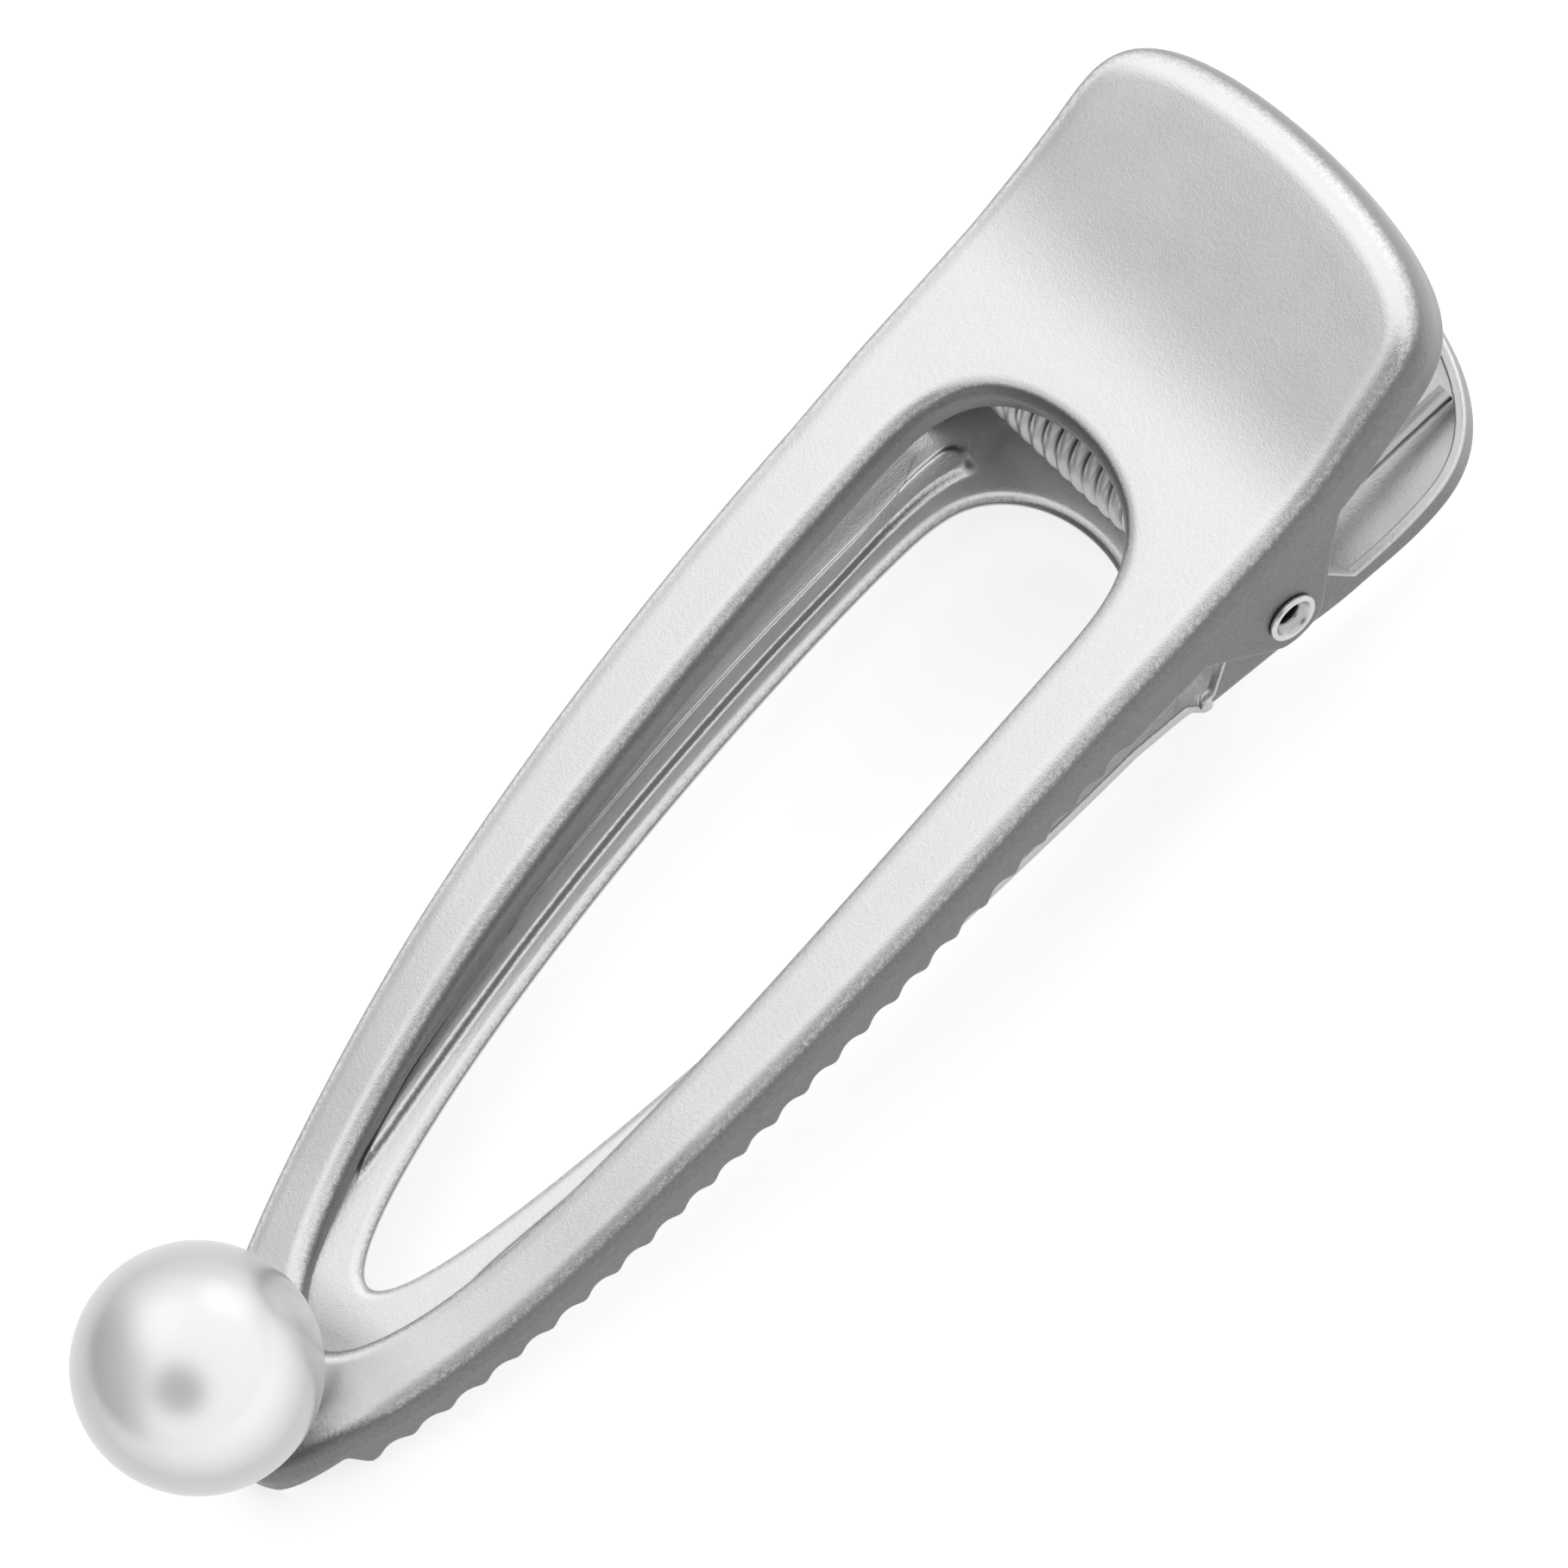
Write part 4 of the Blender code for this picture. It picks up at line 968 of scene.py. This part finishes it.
def jaw_look(look, face, flank, rough, scratches, hidden_side_shade, outer=0.0):
    """Satin sheet: bright face, painted shade on flanks and hidden sides, worn edges with painted
    highlight.
    """
    tree = look.node_tree
    pin = PIN.x / MM
    grain = group(tree, GRAIN, Scratches=scratches)
    along, across = add(tree, "ShaderNodeSeparateXYZ", {0: in_mm(tree)}).outputs[:2]
    # Painted shade on hidden sides and undersides: full ahead of the pin, none behind it.
    under = mapped(tree, along, pin - 2, pin + 2, hidden_side_shade, 0.0)
    painted_shade_mask = group(
        tree, FLANK, Grain=grain["Grain"], Low=SHADE_BORDER_LOW, High=SHADE_BORDER_HIGH, Under=under
    )["Mask"]
    # Painted shadow of the upper flank on the lower jaw's outer strip, ahead of the ears.
    if outer:
        ahead = mapped(tree, along, pin - 5.5, pin - 4.5, outer, 0.0)
        strip = mapped(tree, maths(tree, "ABSOLUTE", across), 7.1, 7.6)
        painted_shade_mask = maths(tree, "MAXIMUM", painted_shade_mask, times(tree, ahead, strip))
    edge = add(tree, "ShaderNodeAttribute", attribute_name="edge").outputs["Fac"]
    clouded = mixed(tree, grain["Cloud"], grey(face - 0.03), grey(face + 0.02))
    speckled = mixed(tree, times(tree, grain["Grain"], 0.24), clouded, grey(face - 0.2))
    # The grey of the flanks' painted shade, broken by the grain.
    shadow = mixed(tree, grain["Grain"], grey(flank * 0.85), grey(flank * 1.2))
    shade_toned = mixed(tree, painted_shade_mask, speckled, shadow)
    # Cut edges: half a light grey, partly wear and partly a painted highlight.
    worn_and_highlit_edges = mixed(tree, times(tree, edge, 0.5), shade_toned, grey(face - 0.1))
    cloudy = mapped(tree, grain["Cloud"], 0.0, 1.0, rough - 0.03, rough + 0.05)
    smoother = maths(tree, "MULTIPLY_ADD", edge, -0.08, cloudy)
    shaded(look, Base_Color=worn_and_highlit_edges, Metallic=1.0, Roughness=smoother,
           Normal=bumped(tree, grain["Height"], 0.007))


# The flank grey is the painted shade on the flanks; the last numbers set how much painted shade the
# hidden sides take and, on the lower jaw, the painted shadow on its outer strip.
jaw_look(looks["upper_jaw"], face=0.93, flank=0.18, rough=0.33, scratches=0.25, hidden_side_shade=0.5)
jaw_look(looks["lower_jaw"], face=0.92, flank=0.2, rough=0.36, scratches=0.4, hidden_side_shade=0.3, outer=0.6)

# %% [markdown]
# ## Spring, rivet and cup
#
# Spring wire is drawn through a die, so its marks run along the wire; the coil's turns lie square
# to the pin, so lines stretched round the pin stand for them. The rivet is polished by the tool
# that rolls its head, which leaves fine rings about the pin; its bore and the dish round it are
# painted darker, as painted shade in the hollow.


# %% Spring, rivet and cup materials
def spring_look(look):
    """Drawn wire, with marks along it and darker grey clouds."""
    tree = look.node_tree
    grain = group(tree, GRAIN, Scratches=0.0)
    drawn = noise(tree, in_mm(tree, (0.5, 14.0, 0.5)), 1.0, 2.0)
    tone = mixed(tree, drawn, grey(0.42), grey(0.66))
    dulled = mixed(tree, times(tree, grain["Cloud"], 0.35), tone, (0.366, 0.36, 0.354, 1.0))
    height = maths(tree, "MULTIPLY_ADD", grain["Grain"], 0.4, drawn)
    rough = mapped(tree, drawn, 0.2, 0.8, 0.26, 0.4)
    shaded(look, Base_Color=dulled, Metallic=1.0, Roughness=rough,
           Normal=bumped(tree, height, 0.008))


def rivet_look(look):
    """Polished metal with fine rings round the pin and painted shade in its bore."""
    tree = look.node_tree
    place = add(tree, "ShaderNodeSeparateXYZ", {0: in_mm(tree)}).outputs
    squares = [
        maths(tree, "POWER", maths(
            tree, "ABSOLUTE", maths(tree, "SUBTRACT", place[axis], PIN[axis] / MM)), 2.0)
        for axis in (0, 2)
    ]
    radius = maths(tree, "SQRT", maths(tree, "ADD", *squares))
    turned_place = add(tree, "ShaderNodeCombineXYZ", {0: radius, 1: place[1]}).outputs[0]
    rings = noise(tree, turned_place, 16.0, 1.0)
    grain = group(tree, GRAIN, Scratches=0.2)
    # Painted shade: the bore and the dish round it take a darker grey.
    inside = mapped(tree, radius, 0.7, 0.88)
    metal = mixed(tree, grain["Cloud"], grey(0.66), grey(0.58))
    tone = mixed(tree, inside, grey(0.42), metal)
    height = maths(tree, "MULTIPLY_ADD", grain["Grain"], 0.25, rings)
    shaded(look, Base_Color=tone, Metallic=1.0, Roughness=mapped(tree, rings, 0.3, 0.7, 0.2, 0.3),
           Normal=bumped(tree, height, 0.004))


def cup_look(look):
    """The jaws' metal, a little darker and smoother."""
    tree = look.node_tree
    grain = group(tree, GRAIN, Scratches=0.1)
    tone = mixed(tree, grain["Cloud"], grey(0.8), grey(0.72))
    darker = mixed(tree, times(tree, grain["Grain"], 0.25), tone, grey(0.55))
    rough = mapped(tree, grain["Grain"], 0.0, 1.0, 0.26, 0.36)
    shaded(look, Base_Color=darker, Metallic=1.0, Roughness=rough,
           Normal=bumped(tree, grain["Height"], 0.006))


spring_look(looks["torsion_spring"])
rivet_look(looks["hinge_rivet"])
cup_look(looks["pearl_cup"])

# %% [markdown]
# ## Pearl
#
# Nacre is thin layers over a bright core. Two things show it: a soft reflection over a white
# body, and faint clouds from a warmer to a greyer white. The rim is painted greyer where the skin
# is seen at a slant: painted shade, for the darker surroundings that the edge reflects. Part metal,
# part white plastic under a thin clear coat comes closest.


# %% Pearl material
def pearl_look(look):
    """A white, half metallic body with faint clouds, a fine skin and a rim of painted shade."""
    tree = look.node_tree
    place = in_mm(tree)
    cloud = mapped(tree, noise(tree, place, 0.3, 1.0, 0.5), 0.1, 0.9)
    skin = noise(tree, place, 2.5, 3.0)
    body = mixed(tree, cloud, (0.965, 0.96, 0.95, 1.0), (0.94, 0.94, 0.945, 1.0))
    fine = mixed(tree, times(tree, skin, 0.06), body, grey(0.8))
    # Painted shade: the rim, where the skin is seen at a slant, is painted toward a grey.
    slant_for_rim_shade = add(tree, "ShaderNodeLayerWeight", {"Blend": 0.5}).outputs["Facing"]
    shade_toned = mixed(tree, mapped(tree, slant_for_rim_shade, 0.14, 0.5, 0.0, 0.75), fine, grey(0.45))
    shaded(look, Base_Color=shade_toned, Metallic=0.6, Roughness=mapped(tree, skin, 0.0, 1.0, 0.27, 0.31),
           Coat_Weight=0.2, Coat_Roughness=0.14, Normal=bumped(tree, skin, 0.004))


pearl_look(looks["pearl_bead"])

# %% [markdown]
# ## Tie the pieces to the frame
#
# Each new piece but the spring rides on the body of the node that it stands for. The spring joins
# both jaws, with a leg under each lever; it is baked in place where it is built and rides on no
# body.

# %% Ride and replace
for piece, body, node in (
    (upper, "upper", "upper_jaw"), (lower, "lower", "lower_jaw"), (rivet, "lower", "hinge_rivet"),
    (cup, "upper", "pearl_cup"), (pearl, "upper", "pearl_bead"),
):
    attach(piece, body)
    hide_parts(node)
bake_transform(spring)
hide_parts("torsion_spring")
print("pieces:", [piece.name for piece in (upper, lower, rivet, cup, pearl, spring)])

# %% [markdown]
# ## Floor, light and camera
#
# The clip lies on a plain white table. Satin metal shows what it reflects, so the surroundings
# decide the look. The sky is a bright dome with two darker places: a wide one at the far left,
# which the tilted lever mirrors as a middle grey, and a small one beside the camera, which gives
# the pearl its dark heart. The top faces mirror a large soft box high behind the clip; a second
# one stands to the right. The photo has no perspective to speak of, like product shots taken from
# far away, so the camera stands far off with a very long lens.


# %% Floor and sky
def floor_look():
    """A white table that camera, glossy and transmission rays all see as lit."""
    look = plain_material("white_table")
    tree = look.node_tree
    shaded(look, Base_Color=grey(0.8), Roughness=0.9,
           Normal=bumped(tree, noise(tree, in_mm(tree), 3.0, 2.0), 0.002))
    rays = add(tree, "ShaderNodeLightPath").outputs
    seen = maths(tree, "ADD", rays["Is Camera Ray"],
                 maths(tree, "ADD", rays["Is Glossy Ray"], rays["Is Transmission Ray"]))
    glow = maths(tree, "MINIMUM", times(tree, seen, 0.5), 0.5)
    shaded(look, Emission_Color=grey(1.0), Emission_Strength=glow)
    return look


bpy.ops.mesh.primitive_grid_add(x_subdivisions=8, y_subdivisions=8, size=1.6)
table = bpy.context.object
table.name = "table_top"
table.data.materials.append(floor_look())

world = bpy.context.scene.world or bpy.data.worlds.new("studio")
bpy.context.scene.world = world
world.use_nodes = True
sky = world.node_tree
sky.nodes.clear()
DARK_SPOT = Vector((-0.404, -0.46, 0.786))
FAR_LEFT = Vector((-0.745, 0.596, 0.298))
ray = add(sky, "ShaderNodeTexCoord").outputs["Generated"]
near_spot, near_left = (
    add(sky, "ShaderNodeVectorMath", {0: ray, 1: way}, operation="DOT_PRODUCT").outputs["Value"]
    for way in (DARK_SPOT, FAR_LEFT)
)
height = add(sky, "ShaderNodeSeparateXYZ", {0: ray}).outputs[2]
dome = mapped(sky, height, -0.02, 0.3, 0.92, 1.0)
band = mapped(sky, near_left, 0.56, 0.88, 1.0, 0.42)
dark_heart = mapped(sky, near_spot, 0.85, 0.99, 1.0, 0.2, interpolation_type="SMOOTHSTEP")
tone = times(sky, times(sky, dome, band), dark_heart)
colour = add(sky, "ShaderNodeCombineColor", {0: tone, 1: tone, 2: tone}).outputs[0]
back = add(sky, "ShaderNodeBackground", {"Color": colour, "Strength": 1.0})
add(sky, "ShaderNodeOutputWorld", {"Surface": back.outputs[0]})

# %% Lamps and camera
AIM = Vector((2.424, 0.0, 7.079)) * MM
RIGHT = Vector((0.6858, -0.6429, -0.3411))
UP = Vector((0.7278, 0.6058, 0.3214))
TOWARD = Vector((0.0, -0.4687, 0.8834))
CAMERA_DISTANCE = 1.6825


def soft_box(name, direction, distance, size, watts):
    """An area lamp that looks at the clip from a direction."""
    lamp = bpy.data.lights.new(name, "AREA")
    lamp.shape, lamp.size, lamp.energy = "DISK", size, watts
    box = linked(name, lamp)
    way = Vector(direction).normalized()
    box.location = AIM + way * distance
    box.rotation_euler = way.to_track_quat("Z", "Y").to_euler()


soft_box("key", (0.0, 0.5, 0.86), distance=0.45, size=0.4, watts=0.045)
soft_box("side", (0.9, 0.2, 0.4), distance=0.5, size=0.35, watts=0.09)

camera_data = bpy.data.cameras.new("camera")
camera_data.lens = 1000.0
camera_data.sensor_width = 36.0
camera_data.clip_end = 20.0
camera = linked("camera", camera_data)
turn = Matrix((RIGHT, UP, TOWARD)).transposed()
camera.matrix_world = Matrix.Translation(AIM + TOWARD * CAMERA_DISTANCE) @ turn.to_4x4()
bpy.context.scene.camera = camera
bpy.context.scene.view_settings.view_transform = "Standard"
frame_width = CAMERA_DISTANCE / MM * camera_data.sensor_width / camera_data.lens
print("camera frame", round(frame_width, 2), "mm wide")
